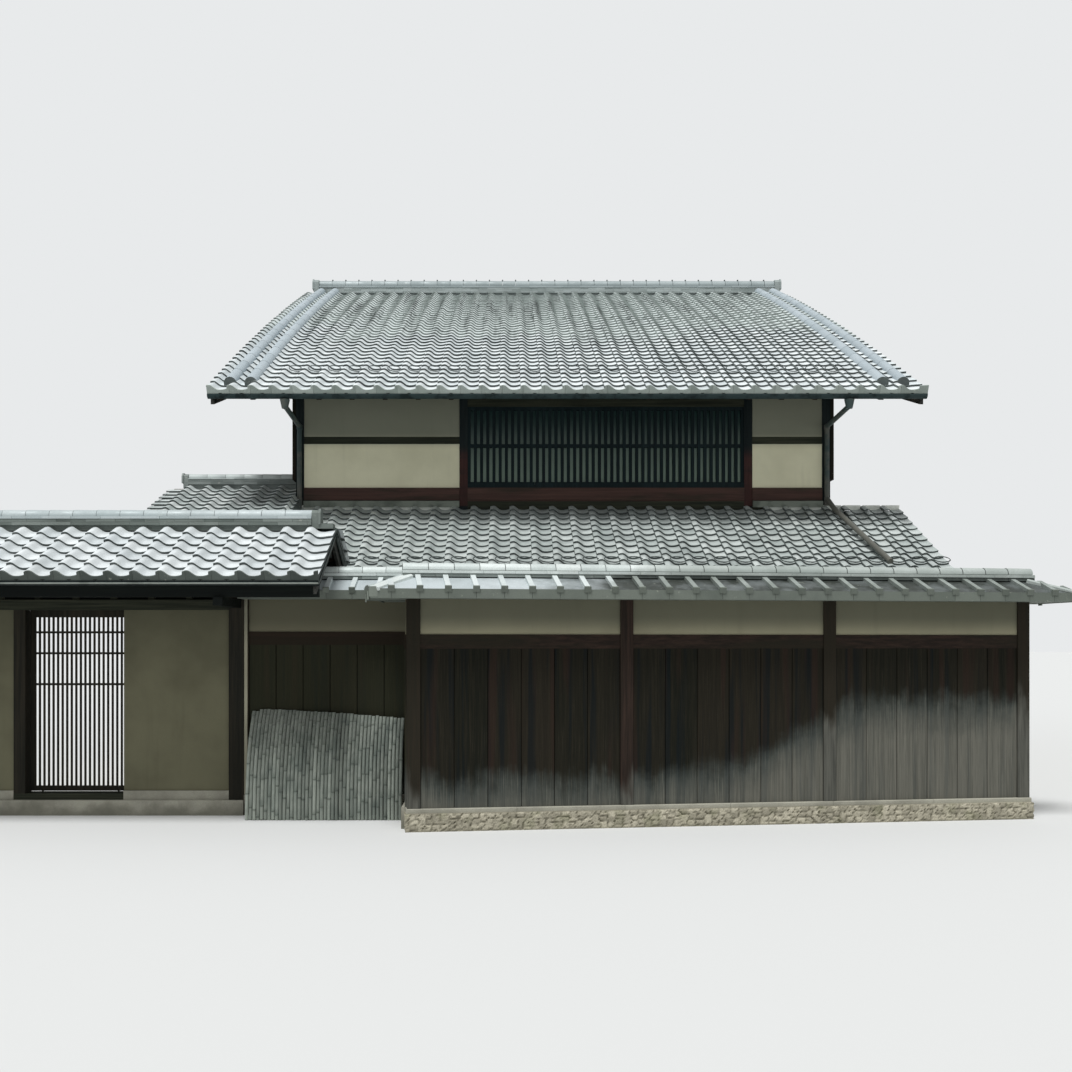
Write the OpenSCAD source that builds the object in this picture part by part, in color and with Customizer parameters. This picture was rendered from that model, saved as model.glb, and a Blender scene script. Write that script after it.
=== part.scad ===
// Two-storey townhouse with a tiled street gate, a side wing and a boarded street wall.
// Millimetres, +Z up, +Y to the back. The origin is on the ground, below the middle of the upper front wall.
// Heights are measured from the gate floor, which stands base_h above the ground.

/* [House body] */
// Distance between the corner post centres across the front
house_w = 6480; // [5400:1:7776]
// Depth from the upper front wall to the rear wall, over the outer faces
house_d = 12400; // [10300:1:14900]
// Side of a square post
post = 100; // [84:1:144]
// Bay at the left of the upper window, between post centres
left_bay = 2014; // [1600:10:2400]
// Bay at the right of the upper window, between post centres
right_bay = 960; // [800:10:1160]
// Thickness of a plaster panel between posts
plaster_t = 80; // [60:5:96]
// Height of the gate floor above the ground
base_h = 150; // [120:5:180]
// Depth of the earth floor on its stone base
floor_t = 50; // [40:5:60]
// Height of the ground floor's top
floor_z = 150; // [120:5:180]
// Underside of the upper floor
upper_floor_z = 2700; // [2600:10:2900]
// Thickness of the upper floor
upper_floor_t = 120; // [100:5:144]

/* [Upper front wall] */
// Underside of the upper sill beam
sill_z = 3320; // [3280:5:3400]
// Height of the upper sill beam
sill_h = 150; // [120:5:180]
// Underside of the rail across the plaster
mid_rail_z = 4010; // [3900:5:4100]
// Height of the rail across the plaster
mid_rail_h = 90; // [70:5:110]
// Underside of the beam over the upper window
lintel_z = 4470; // [4400:5:4520]
// Height of a rail of the window lattice
lattice_rail = 40; // [30:5:50]
// Bars in the upper window lattice
lattice_bars = 45; // [30:1:50]
// How far the rear windows stay in from the middle bay's posts
rear_inset = 300; // [200:10:360]
// Width of a lattice bar
bar_w = 37; // [24:1:40]
// Depth of a lattice bar
bar_d = 40; // [30:1:50]
// Thickness of the panes behind the lattice
pane_t = 12; // [8:1:20]

/* [Main roof] */
// Radius of the gently swelling roof slope
roof_r = 104000; // [90000:1000:124000]
// Slope of the roof at the ridge in degrees
ridge_angle = 21.3; // [19:0.1:23]
// Underside of the rafters at the upper front wall
plate_z = 4772; // [4740:5:4900]
// Eave overhang of the roof deck
eave_over = 1000; // [850:10:1200]
// Overhang of the roof beyond the outer face of a side wall
verge_over = 835; // [700:5:1000]
// Tiles across the main roof
roof_tiles = 34; // [30:1:38]
// Thickness of a roof deck
deck_t = 20; // [16:1:24]
// Depth of a rafter
rafter_h = 85; // [70:5:100]
// Width of a rafter
rafter_w = 54; // [44:1:64]
// Spacing of the rafters
rafter_step = 384; // [370:1:400]
// Depth of a roof beam
beam_h = 150; // [120:5:180]
// Thickness of a bargeboard
barge_t = 40; // [30:5:50]
// Depth of a main bargeboard
barge_h = 190; // [160:5:220]
// Radius of a round verge cover
cover_r = 65; // [54:1:78]
// Distance from the roof's edge to the first round cover
cover_in = 225; // [190:5:270]
// Radius of an eave gutter
gutter_r = 50; // [42:1:54]
// Radius of a downpipe
pipe_r = 30; // [25:1:36]

/* [Tiles] */
// Thickness of a tile in its trough
tile_t = 25; // [20:1:30]
// Height of a tile's hump above its trough
wave_h = 48; // [40:1:58]
// Depth of the clay bed under the main roof's tiles
bed_t = 35; // [20:1:42]
// How far the eave tiles run past the deck
tile_over = 30; // [20:1:40]

/* [Lower roof] */
// How far the ground-floor front wall stands in front of the upper one
ground_front = 1300; // [1100:10:1500]
// Run of the lower roof
leanto_run = 2000; // [1700:10:2100]
// Top of the lower roof's deck at the wall
leanto_z = 3185; // [3150:5:3230]
// Pitch of the lower roof in degrees
leanto_pitch = 25.2; // [23:0.1:26]
// Overhang of the lower roof at the right
leanto_over = 840; // [700:10:960]
// Tiles across the lower roof
leanto_tiles_n = 31; // [27:1:35]
// Width of the entrance in the ground-floor front wall
door_w = 1300; // [1100:10:1500]
// Height of the entrance above the ground floor
door_h = 1850; // [1750:10:1900]
// Left edge of the entrance from the left wall
door_in = 840; // [600:10:1000]

/* [Side wing] */
// Length of the wing's roof beyond the left wall
wing_w = 1618; // [1420:10:2040]
// Run of each slope of the wing's roof
wing_run = 1500; // [1300:10:1700]
// Ridge of the wing behind the upper front wall
wing_ridge_y = 450; // [400:10:600]
// Top of the wing's deck at its ridge
wing_z = 3515; // [3400:5:3560]

/* [Gate] */
// Distance between the gate's outer post centres
gate_w = 3220; // [2680:1:3870]
// Clear width of the gate doorway
gate_door_w = 975; // [820:5:1100]
// Side of an outer gate post
gate_post = 150; // [125:5:175]
// Width of the door post
door_post = 115; // [95:5:135]
// Underside of the gate's head beam
head_z = 1880; // [1800:5:1950]
// Height of the gate's head beam
head_h = 102; // [85:1:110]
// Height of the outer gate posts
gate_post_h = 2400; // [2340:5:2440]
// Top of the gate's deck at its ridge
gate_z = 2685; // [2660:5:2740]
// Pitch of the gate's roof in degrees
gate_pitch = 25.85; // [24:0.05:26.5]
// Run of the gate's front slope
gate_front_run = 1140; // [950:10:1200]
// Run of the gate's rear slope
gate_rear_run = 720; // [600:10:860]
// Tiles across the gate's roof
gate_tiles_n = 22; // [20:1:26]
// Width of a gate tile
gate_tile_w = 236; // [225:1:250]
// Thickness of the sliding leaf
leaf_t = 35; // [30:1:40]
// Bars in the sliding leaf
leaf_bars = 21; // [14:1:23]
// Clearance round the sliding leaf
leaf_gap = 7; // [5:1:9]

/* [Street wall] */
// Whole bays in the street wall
wall_bays = 3; // [2:1:6]
// Width of a bay of the street wall
wall_bay = 1970; // [1640:1:2370]
// Turn of the street wall away from the house front in degrees
wall_turn = 8; // [0:0.5:10]
// How far the recessed bay stands behind the street wall
recess_d = 1080; // [900:10:1296]
// Width of the recessed bay, from the gate post to the return's centre
recess_w = 1715; // [1500:5:2000]
// How much higher the recessed bay is
recess_up = 35; // [20:5:40]
// Top of the boards
board_z = 1500; // [1400:10:1550]
// Thickness of the boards
board_t = 24; // [20:1:30]
// Height of the rail over the boards
wall_rail_h = 130; // [100:5:150]
// Eave height of the street wall
wall_eave_z = 1950; // [1900:5:2000]
// Half width of the street wall's roof
wall_roof_half = 360; // [300:5:430]
// Overhang of the street wall's hips
wall_hip_over = 400; // [350:5:480]
// Height of the bamboo screen
screen_h = 1055; // [900:5:1200]
// How far the screen stands out at its foot
screen_out = 380; // [300:5:450]

/* [Hidden] */

timber = "#35231c";
dark_timber = "#241a16";
plaster = "#cbbd9d";
tile_grey = "#9aa5a6";
stone = "#a9a69c";
bamboo = "#8d8f8a";
seat = 0.4;
$fn = 48;

// House plan
half_w = house_w / 2;
outer_x = half_w + post / 2;
inner_x = half_w - post / 2;
ridge_y = house_d / 2;
roof_half = outer_x + verge_over;
tile_w = 2 * roof_half / roof_tiles;
post_x = [-half_w, -half_w + left_bay, half_w - right_bay, half_w];
wall_foot = floor_z - floor_t;
plaster_y = (post - plaster_t) / 2;
frame_y = 8;

// Main roof slope: an arc round an axis along X
roof_cy = ridge_y + roof_r * sin(ridge_angle);
roof_cz = plate_z - sqrt(pow(roof_r - deck_t - rafter_h, 2) - pow(roof_cy, 2));
function roof_z(y, d) = roof_cz + sqrt(pow(roof_r + d, 2) - pow(roof_cy - y, 2));
function roof_angle(y, d) = asin((roof_cy - y) / (roof_r + d));
function gable_z(y, d) = roof_z(y <= ridge_y ? y : house_d - y, d);
function steps(a, b, n) = [for (i = [0 : n]) a + (b - a) * i / n];
arc_steps = 12;
eave_in = 40;
rafter_end = eave_over - eave_in;
rafter_top_d = -deck_t - seat;
rafter_low_d = -deck_t - rafter_h;
tail_h = 48;
tail_length = 260;
barge_foot = 105;
ridge_half = 125;
ridge_up = 100;
verge_flat = 3;
verge_in = 60;
gutter_up = 92;

// Rafters stand half a step to each side of the side walls' middle, with a tail in line with each wall
rafter_n = round(half_w / rafter_step - 0.5);
rafter_pitch = half_w / (rafter_n + 0.5);
function rafter_x(side, i) = side * rafter_pitch * (i + 0.5);

// Lower roof; seats on slopes lie a little below the deck
leanto_tan = tan(leanto_pitch);
leanto_x0 = -outer_x;
leanto_x1 = outer_x + leanto_over;
leanto_drop = deck_t / cos(leanto_pitch);
leanto_rafter_h = 60;
leanto_in = 60;
function leanto_under(y) = leanto_z + leanto_tan * y - leanto_drop;
function leanto_seat(y) = leanto_under(y) - seat;
door_x0 = -outer_x + door_in;
door_x1 = door_x0 + door_w;

// Side wing
wing_pitch = 20.6;
wing_wall_in = 300;
wing_wall_t = 100;
wing_x0 = -outer_x - wing_w;
wing_x1 = -outer_x - seat;
wing_ridge_half = 90;
clad_t = 45;
clad_z = 3570;
function wing_under(y) = wing_z - tan(wing_pitch) * abs(y - wing_ridge_y) - deck_t / cos(wing_pitch);
function wing_seat(y) = wing_under(y) - seat;

// Gate, placed from the house's left side and the lower roof's eave
eave_clearance = 130;
gate_y = -(leanto_run + gate_rear_run + eave_clearance);
gate_gap = 80;
gate_x = -outer_x - gate_gap - gate_w / 2;
gate_left = gate_x - gate_w / 2;
gate_right = gate_x + gate_w / 2;
gate_half = gate_tiles_n * gate_tile_w / 2;
gate_deck_t = 25;
gate_rafter_h = 45;
gate_ridge_half = 100;
gate_sill_h = 60;
gate_band_h = 90;
gate_band_out = 20;
rail_h = 8;
panel_front = 40;
arm_w = 90;
arm_z = 1900;
arm_h = 80;
purlin_w = 90;
front_purlin = gate_y - 810;
rear_purlin = gate_y + 440;
gate_end = gate_half - verge_in;
gate_rafter_y0 = gate_y - gate_front_run + eave_in;
gate_rafter_y1 = gate_y + gate_rear_run - eave_in;
gate_rafters_n = 16;
function gate_under(y) = gate_z - tan(gate_pitch) * abs(y - gate_y) - gate_deck_t / cos(gate_pitch);
function gate_seat(y) = gate_under(y) - seat;
function gate_rafter_low(y) = gate_seat(y) - gate_rafter_h / cos(gate_pitch);
doorway_x0 = gate_x - gate_door_w / 2;
doorway_x1 = gate_x + gate_door_w / 2;
post_back = gate_y + gate_post / 2;
beam_y0 = gate_y - 55;
beam_y1 = gate_y + 55;
leaf_y = beam_y1 + leaf_gap;
leaf_x0 = doorway_x0 + leaf_gap;
leaf_w = gate_door_w + 23;
roller_r = 18;
leaf_z0 = gate_sill_h + rail_h + leaf_gap;
leaf_z1 = head_z + 20;

// Street wall
ret_x = gate_right + gate_post / 2 + recess_w;
wall_start = [ret_x + 40, gate_y - recess_d];
wall_len = wall_bays * wall_bay;
wall_post = 120;
board_y = -45;
wall_eave_t = 64;
wall_ridge_w = 60;
wall_rise = 116;
plinth_z = 13;
wall_foot_z = 55;
recess_x0 = gate_right + gate_post / 2;
jamb_w = 45;

module lift() {
    translate([0, 0, base_h]) children();
}

module block(x0, x1, y0, y1, z0, z1) {
    translate([x0, y0, z0]) cube([x1 - x0, y1 - y0, z1 - z0]);
}

// Extrudes a side profile, drawn as (y, z), along X
module along_x(x0, x1) {
    translate([x0, 0, 0]) rotate([90, 0, 90]) linear_extrude(x1 - x0) children();
}

module turned_to_rear() {
    translate([0, house_d, 0]) rotate([0, 0, 180]) children();
}

// Sweeps a profile, drawn as (radius, x), along the swelling slope
module roof_sweep(a_low, a_high) {
    translate([0, roof_cy, roof_cz])
        rotate([180, -90, 0])
        rotate([0, 0, a_high])
        rotate_extrude(angle = a_low - a_high, $fn = 1440)
        children();
}

module pipe(p, q, r) {
    v = q - p;
    length = norm(v);
    translate(p) rotate([0, acos(v[2] / length), atan2(v[1], v[0])]) cylinder(h = length, r = r);
}

// Tiles: a fall from each hump to a wide trough, a slow rise, and an upright lip at the next hump
trough_u = 0.4;
rise_u = 0.5;
lip_u = 0.87;
lip_low = 0.2;
lip_fall = 0.1;
function wave(u) = u < trough_u ? (1 + cos(180 * u / trough_u)) / 2
    : u <= lip_u ? lip_low * pow(max(0, u - rise_u) / (lip_u - rise_u), 2)
    : 1 - lip_fall * pow((1 - u) / (1 - lip_u), 2);
wave_u = [0, 0.13, 0.26, trough_u, 0.68, lip_u, lip_u + 0.01, 0.94];
function tile_top(n, w, x0, flat, t) = [
    for (i = [0 : n - 1], u = wave_u)
        [x0 + (i + u) * w, t + (i >= flat && i < n - flat ? wave_h * wave(u) : 0)]
];
function tile_profile(n, w, x0, flat, t) = concat(
    [[x0, 0]], tile_top(n, w, x0, flat, t), [[x0 + n * w, t], [x0 + n * w, 0]]
);

// A flat sheet of tiles that runs down the slope from its top edge
module tile_sheet(n, w, x0, y_top, z_top, pitch, run, flat) {
    translate([0, y_top, z_top + seat])
        rotate([90 + pitch, 0, 0])
        linear_extrude(run / cos(pitch))
        polygon(tile_profile(n, w, x0, flat, tile_t));
}

// A ridge of flat courses and one thin wider course under a round cap, seated on two slopes
module ridge_stack(x0, x1, y, z, pitch, half, z_courses, courses, course_h, thin_h, cap_r) {
    step_in = 6;
    foot_half = half - 10;
    thin_half = half - (courses - 2) * step_in;
    z_thin = z_courses + courses * course_h;
    z_cap = z_thin + thin_h;
    foot = z - foot_half * tan(pitch) + 2 * seat;
    side = concat(
        [for (i = [0 : courses - 1], k = [0, 1]) [half - i * step_in, z_courses + (i + k) * course_h]],
        [[thin_half, z_thin], [thin_half, z_cap]]
    );
    along_x(x0, x1) polygon(concat(
        [[y, z + seat], [y + foot_half, foot], [y + foot_half, z_courses]],
        [for (p = side) [y + p[0], p[1]]],
        [for (i = [len(side) - 1 : -1 : 0]) [y - side[i][0], side[i][1]]],
        [[y - foot_half, z_courses], [y - foot_half, foot]]
    ));
    translate([x0, y, z_cap + cap_r / 3]) rotate([0, 90, 0]) cylinder(h = x1 - x0, r = cap_r);
}

// End tile of a ridge: a chamfered block at the cap over a shorter one at the courses
module ridge_end(x0, length, low_length, y, z0, z1, z2, half) {
    chamfer = half * 0.4;
    along_x(x0, x0 + length) polygon([
        [y - half, z1], [y + half, z1], [y + half, z2 - chamfer],
        [y + half - chamfer, z2], [y - half + chamfer, z2], [y - half, z2 - chamfer]
    ]);
    block(x0, x0 + low_length, y - half, y + half, z0, z1);
}

module half_gutter(x0, x1, y, z, r) {
    wall = 4;
    difference() {
        translate([x0, y, z]) rotate([0, 90, 0]) cylinder(h = x1 - x0, r = r);
        translate([x0 - 1, y, z]) rotate([0, 90, 0]) cylinder(h = x1 - x0 + 2, r = r - wall);
        block(x0 - 1, x1 + 1, y - r - 1, y + r + 1, z, z + r + 1);
    }
}

// Lattice of upright bars between rails, fused where they cross
module lattice(x0, x1, y0, depth, z0, z1, bars, bar, rails, rail) {
    pitch = (x1 - x0 - bar) / (bars - 1);
    for (i = [0 : bars - 1]) {
        block(x0 + i * pitch, x0 + i * pitch + bar, y0, y0 + depth, z0, z1);
    }
    for (z = rails) {
        block(x0, x1, y0, y0 + depth, z, z + rail);
    }
}

module foundation() {
    color(stone) lift()
        block(-outer_x, outer_x, -ground_front - 30, house_d + 30, -base_h, wall_foot);
}

module ground_floor() {
    color("#8f8677") lift()
        difference() {
            block(-inner_x, inner_x, -ground_front + post, house_d - post, wall_foot, floor_z);
            for (x = post_x) {
                block(x - post / 2, x + post / 2, 0, post, wall_foot - 1, floor_z + 1);
            }
        }
}

module upper_floor() {
    color(timber) lift()
        block(-inner_x, inner_x, post, house_d - post, upper_floor_z, upper_floor_z + upper_floor_t);
}

// Side profile of a roof beam, whose top follows the rafters
function beam_profile(y0, y1) = let (
    low = min(gable_z(y0, rafter_low_d), gable_z(y1, rafter_low_d)) - beam_h
) concat(
    [[y0, low], [y1, low]],
    [for (y = steps(y1, y0, 2)) [y, gable_z(y, rafter_low_d) - 2 * seat]]
);
purlin_ys = [for (k = [1, 2, 4, 5]) house_d * k / 6];
beam_ys = concat([post / 2], purlin_ys, [ridge_y, house_d - post / 2]);

module side_wall() {
    top = [for (y = steps(house_d - post, post, 2 * arc_steps)) [y, gable_z(y, rafter_top_d)]];
    difference() {
        along_x(inner_x, outer_x) polygon(concat([[post, wall_foot], [house_d - post, wall_foot]], top));
        for (y = concat(purlin_ys, [ridge_y])) {
            along_x(inner_x - 1, outer_x + 1) polygon(beam_profile(y - post / 2, y + post / 2));
        }
    }
    along_x(inner_x, outer_x) polygon([
        [-ground_front + post, wall_foot], [0, wall_foot], [0, leanto_seat(0)],
        [-ground_front + post, leanto_seat(-ground_front + post)]
    ]);
}

module left_wall() {
    color(plaster) lift() mirror([1, 0, 0]) side_wall();
}

module right_wall() {
    color(plaster) lift() side_wall();
}

window_x0 = post_x[1] + post / 2;
window_x1 = post_x[2] - post / 2;
lower_window_z = 900;
lower_window_h = 1100;
rear_bars = lattice_bars - 9;

// Plaster of the rear wall, bay by bay, with windows cut through the middle bay
module rear_wall() {
    top = gable_z(post / 2, rafter_low_d) - beam_h - 40;
    color(plaster) lift() turned_to_rear()
        for (i = [0 : 2]) {
            difference() {
                block(post_x[i] + post / 2, post_x[i + 1] - post / 2, plaster_y, plaster_y + plaster_t,
                    wall_foot, top);
                if (i == 1) {
                    block(window_x0 + rear_inset, window_x1 - rear_inset, 0, post, sill_z + sill_h, lintel_z);
                    block(window_x0 + rear_inset, window_x1 - rear_inset, 0, post, lower_window_z,
                        lower_window_z + lower_window_h);
                }
            }
        }
}

module ground_front_wall() {
    y0 = -ground_front;
    y1 = -ground_front + post;
    drop = leanto_rafter_h + seat;
    profile = [[y0, wall_foot], [y1, wall_foot], [y1, leanto_seat(y1) - drop], [y0, leanto_seat(y0) - drop]];
    color(plaster) lift() {
        along_x(-outer_x, door_x0) polygon(profile);
        along_x(door_x1, outer_x) polygon(profile);
    }
}

module door_head_wall() {
    y0 = -ground_front;
    y1 = -ground_front + post;
    head = floor_z + door_h;
    drop = leanto_rafter_h + seat;
    color(timber) lift()
        along_x(door_x0, door_x1) polygon([
            [y0, head], [y1, head], [y1, leanto_seat(y1) - drop], [y0, leanto_seat(y0) - drop]
        ]);
}

module post_row() {
    top = min(beam_profile(0, post)[0][1], plate_z);
    for (x = post_x) {
        block(x - post / 2, x + post / 2, 0, post, wall_foot, top);
    }
}

module posts() {
    color(dark_timber) lift() {
        post_row();
        turned_to_rear() post_row();
    }
}

// Beams, sills and rails between the posts of the upper front wall
module front_rails() {
    color(timber) lift()
        for (i = [0 : 2]) {
            x0 = post_x[i] + post / 2;
            x1 = post_x[i + 1] - post / 2;
            block(x0, x1, 0, post, upper_floor_z, sill_z);
            block(x0, x1, -15, post, sill_z, sill_z + sill_h);
            if (i == 1) {
                block(x0, x1, frame_y, post - frame_y, lintel_z, beam_profile(0, post)[0][1]);
            } else {
                block(x0, x1, frame_y, post - frame_y, mid_rail_z, mid_rail_z + mid_rail_h);
            }
        }
}

module front_plaster() {
    color(plaster) lift()
        for (i = [0, 2]) {
            x0 = post_x[i] + post / 2;
            x1 = post_x[i + 1] - post / 2;
            y1 = plaster_y + plaster_t;
            block(x0, x1, plaster_y, y1, sill_z + sill_h, mid_rail_z);
            block(x0, x1, plaster_y, y1, mid_rail_z + mid_rail_h, beam_profile(0, post)[0][1]);
        }
}

module window_lattices() {
    foot = sill_z + sill_h;
    color(dark_timber) lift() {
        lattice(window_x0, window_x1, 15, bar_d, foot, lintel_z, lattice_bars, bar_w,
            [foot, (foot + lintel_z) / 2, lintel_z - lattice_rail], lattice_rail);
        turned_to_rear() {
            lattice(window_x0 + rear_inset, window_x1 - rear_inset, plaster_y, bar_d, foot, lintel_z,
                rear_bars, bar_w, [foot, lintel_z - lattice_rail], lattice_rail);
            lattice(window_x0 + rear_inset, window_x1 - rear_inset, plaster_y, bar_d, lower_window_z,
                lower_window_z + lower_window_h, rear_bars, bar_w,
                [lower_window_z, lower_window_z + lower_window_h - lattice_rail], lattice_rail);
        }
    }
}

module window_panes() {
    foot = sill_z + sill_h;
    y0 = 15 + bar_d;
    color("#8a9484") lift() {
        block(window_x0, window_x1, y0, y0 + pane_t, foot, lintel_z);
        turned_to_rear() {
            for (z = [[foot, lintel_z], [lower_window_z, lower_window_z + lower_window_h]]) {
                block(window_x0 + rear_inset, window_x1 - rear_inset, plaster_y + bar_d,
                    plaster_y + bar_d + pane_t, z[0], z[1]);
            }
        }
    }
}

module roof_beams() {
    end = roof_half - verge_in;
    color(timber) lift()
        for (y = beam_ys) {
            along_x(-end, end) polygon(beam_profile(y - post / 2, y + post / 2));
        }
}

module rafter(x, y1, n) {
    ys = steps(-rafter_end, y1, n);
    low_ys = steps(-rafter_end + tail_length, y1, n);
    low = [for (i = [n : -1 : 0]) [low_ys[i], roof_z(low_ys[i], rafter_low_d)]];
    tail = [[-rafter_end, roof_z(-rafter_end, -deck_t - tail_h)]];
    along_x(x - rafter_w / 2, x + rafter_w / 2)
        polygon(concat([for (y = ys) [y, roof_z(y, rafter_top_d)]], low, tail));
}

module rafter_row() {
    ridge_in = 40;
    last = floor((roof_half - verge_in - rafter_w) / rafter_pitch - 0.5);
    for (side = [-1, 1], i = [0 : last]) {
        if (i == rafter_n) {
            rafter(rafter_x(side, i), post - seat, 1);
        } else {
            rafter(rafter_x(side, i), ridge_y - ridge_in, arc_steps);
        }
    }
}

// Lower roof's rafters; those over a side wall stop behind the front wall
module leanto_rafters() {
    run = leanto_run - leanto_in;
    last = floor((leanto_x1 - verge_in) / rafter_pitch - 0.5);
    for (side = [-1, 1], i = [0 : side < 0 ? rafter_n : last]) {
        x = rafter_x(side, i);
        y1 = i == rafter_n ? post - ground_front - seat : 0;
        along_x(x - rafter_w / 2, x + rafter_w / 2) polygon([
            [-run, leanto_seat(-run)], [y1, leanto_seat(y1)],
            [y1, leanto_seat(y1) - leanto_rafter_h], [-run, leanto_seat(-run) - leanto_rafter_h]
        ]);
    }
}

module rafters() {
    color(dark_timber) lift() {
        rafter_row();
        turned_to_rear() rafter_row();
        leanto_rafters();
        gate_rafters();
    }
}

module deck_slope() {
    roof_sweep(roof_angle(-eave_over, 0), roof_angle(ridge_y - seat, -deck_t))
        translate([roof_r - deck_t, -roof_half]) square([deck_t, 2 * roof_half]);
}

module deck_front() {
    color(timber) lift() deck_slope();
}

module deck_rear() {
    color(timber) lift() turned_to_rear() deck_slope();
}

module tile_slope() {
    profile = tile_profile(roof_tiles, tile_w, -roof_half, verge_flat, tile_t + bed_t);
    roof_sweep(roof_angle(-eave_over - tile_over, 0), roof_angle(ridge_y - ridge_half - 2 * seat, 0))
        polygon([for (p = profile) [roof_r + seat + p[1], p[0]]]);
}

module tiles_front() {
    color(tile_grey) lift() tile_slope();
}

module tiles_rear() {
    color(tile_grey) lift() turned_to_rear() tile_slope();
}

// Round covers on low upright sides, two rows up the slope near each verge
module cover_row() {
    first_course = 215;
    side_h = 35;
    sides = 8;
    base_r = roof_r + tile_t + bed_t + 2 * seat;
    low = roof_angle(-eave_over - tile_over + first_course, 0);
    high = roof_angle(ridge_y - ridge_half - 1, 0);
    arc = [for (i = [0 : sides]) [side_h + cover_r * sin(180 * i / sides), cover_r * cos(180 * i / sides)]];
    for (side = [-1, 1], k = [0, 1]) {
        x = side * (roof_half - cover_in - k * tile_w);
        roof_sweep(low, high)
            polygon(concat(
                [[base_r, x + cover_r]], [for (p = arc) [base_r + p[0], x + p[1]]], [[base_r, x - cover_r]]
            ));
    }
}

module verge_covers() {
    color(tile_grey) lift() {
        cover_row();
        turned_to_rear() cover_row();
    }
}

// Half of a gate bargeboard, from an eave to the joint at the ridge
gate_barge_t = 30;
module gate_barge(x0, y0, y1) {
    depth = 130;
    along_x(x0, x0 + gate_barge_t) polygon([
        [y0, gate_seat(y0)], [y1, gate_seat(y1)], [y1, gate_seat(y1) - depth], [y0, gate_seat(y0) - depth]
    ]);
}

module barge_slope() {
    ys = steps(-rafter_end, ridge_y - seat, arc_steps);
    foot_z = roof_z(-rafter_end, -deck_t) - barge_foot;
    top = [for (y = ys) [y, roof_z(y, rafter_top_d)]];
    low = [for (i = [arc_steps : -1 : 0]) [ys[i], max(roof_z(ys[i], -deck_t - barge_h), foot_z)]];
    for (side = [0, 1]) {
        mirror([side, 0, 0])
            along_x(roof_half - verge_in, roof_half - verge_in + barge_t) polygon(concat(top, low));
    }
}

module bargeboards() {
    color(dark_timber) lift() {
        barge_slope();
        turned_to_rear() barge_slope();
        for (x = [gate_x - gate_end - gate_barge_t, gate_x + gate_end]) {
            gate_barge(x, gate_rafter_y0, gate_y - seat);
            gate_barge(x, gate_y + seat, gate_rafter_y1);
        }
    }
}

module main_ridge() {
    z_top = roof_z(ridge_y, 0);
    z_low = z_top + ridge_up;
    course_h = 32;
    courses = 3;
    thin_h = 30;
    cap_r = 85;
    end_length = 110;
    end_h = 160;
    end_up = 10;
    end = roof_half - verge_in - end_length;
    z_end = z_low + courses * course_h + thin_h + cap_r * 4 / 3;
    color(tile_grey) lift() {
        ridge_stack(-end, end, ridge_y, z_top, ridge_angle, ridge_half,
            z_low, courses, course_h, thin_h, cap_r);
        for (side = [0, 1]) {
            mirror([side, 0, 0])
                ridge_end(end, end_length, end_length - 30, ridge_y,
                    z_top + seat, z_end - end_h, z_end + end_up, ridge_half);
        }
    }
}

module gutters() {
    gap = 0.3;
    gate_r = 45;
    gate_up = 38;
    leanto_down = 10;
    leanto_end = -leanto_run + leanto_in;
    y = -rafter_end - gap - gutter_r;
    z = roof_z(-rafter_end, rafter_low_d) + gutter_up;
    color("#6d706c") lift() {
        half_gutter(-roof_half, roof_half, y, z, gutter_r);
        turned_to_rear() half_gutter(-roof_half, roof_half, y, z, gutter_r);
        half_gutter(gate_x - gate_half, gate_x + gate_half, gate_rafter_y0 - gap - gate_r,
            gate_rafter_low(gate_rafter_y0) + gate_up, gate_r);
        half_gutter(leanto_x0, leanto_x1, leanto_end - gap - gutter_r,
            leanto_under(leanto_end) - leanto_down, gutter_r);
    }
}

module downpipes() {
    drop = 80;
    collar_z = 4220;
    top_z = roof_z(-rafter_end, rafter_low_d) + gutter_up - gutter_r - seat;
    y_out = -rafter_end - gutter_r;
    elbow = pipe_r + 5;
    y_in = -elbow - seat;
    bottom = leanto_z + 150;
    slope_y = -leanto_run + 150;
    slope_up = (tile_t + wave_h + elbow + 2) / cos(leanto_pitch);
    color("#6b5348") lift() {
        for (side = [-1, 1]) {
            x = side * half_w;
            points = [[x, y_out, top_z], [x, y_out, top_z - drop], [x, y_in, collar_z], [x, y_in, bottom]];
            for (i = [0 : 2]) {
                pipe(points[i], points[i + 1], pipe_r);
            }
            translate(points[1]) sphere(r = elbow);
            translate(points[2]) sphere(r = elbow);
        }
        x = half_w;
        run = [[x, y_in, bottom], [x + 30, -280, leanto_z - leanto_tan * 280 + slope_up],
            [x + 210, slope_y, leanto_z + leanto_tan * slope_y + slope_up]];
        for (i = [0, 1]) {
            pipe(run[i], run[i + 1], pipe_r);
        }
        translate(run[0]) sphere(r = elbow);
        translate(run[1]) sphere(r = elbow);
    }
}

module leanto_deck() {
    color(timber) lift()
        along_x(leanto_x0, leanto_x1) polygon([
            [0, leanto_z], [-leanto_run, leanto_z - leanto_tan * leanto_run],
            [-leanto_run, leanto_under(-leanto_run)], [0, leanto_under(0)]
        ]);
}

module leanto_tiles() {
    w = (leanto_x1 - leanto_x0) / leanto_tiles_n;
    color(tile_grey) lift()
        tile_sheet(leanto_tiles_n, w, leanto_x0, 0, leanto_z, leanto_pitch, leanto_run + tile_over, 0);
}

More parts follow.
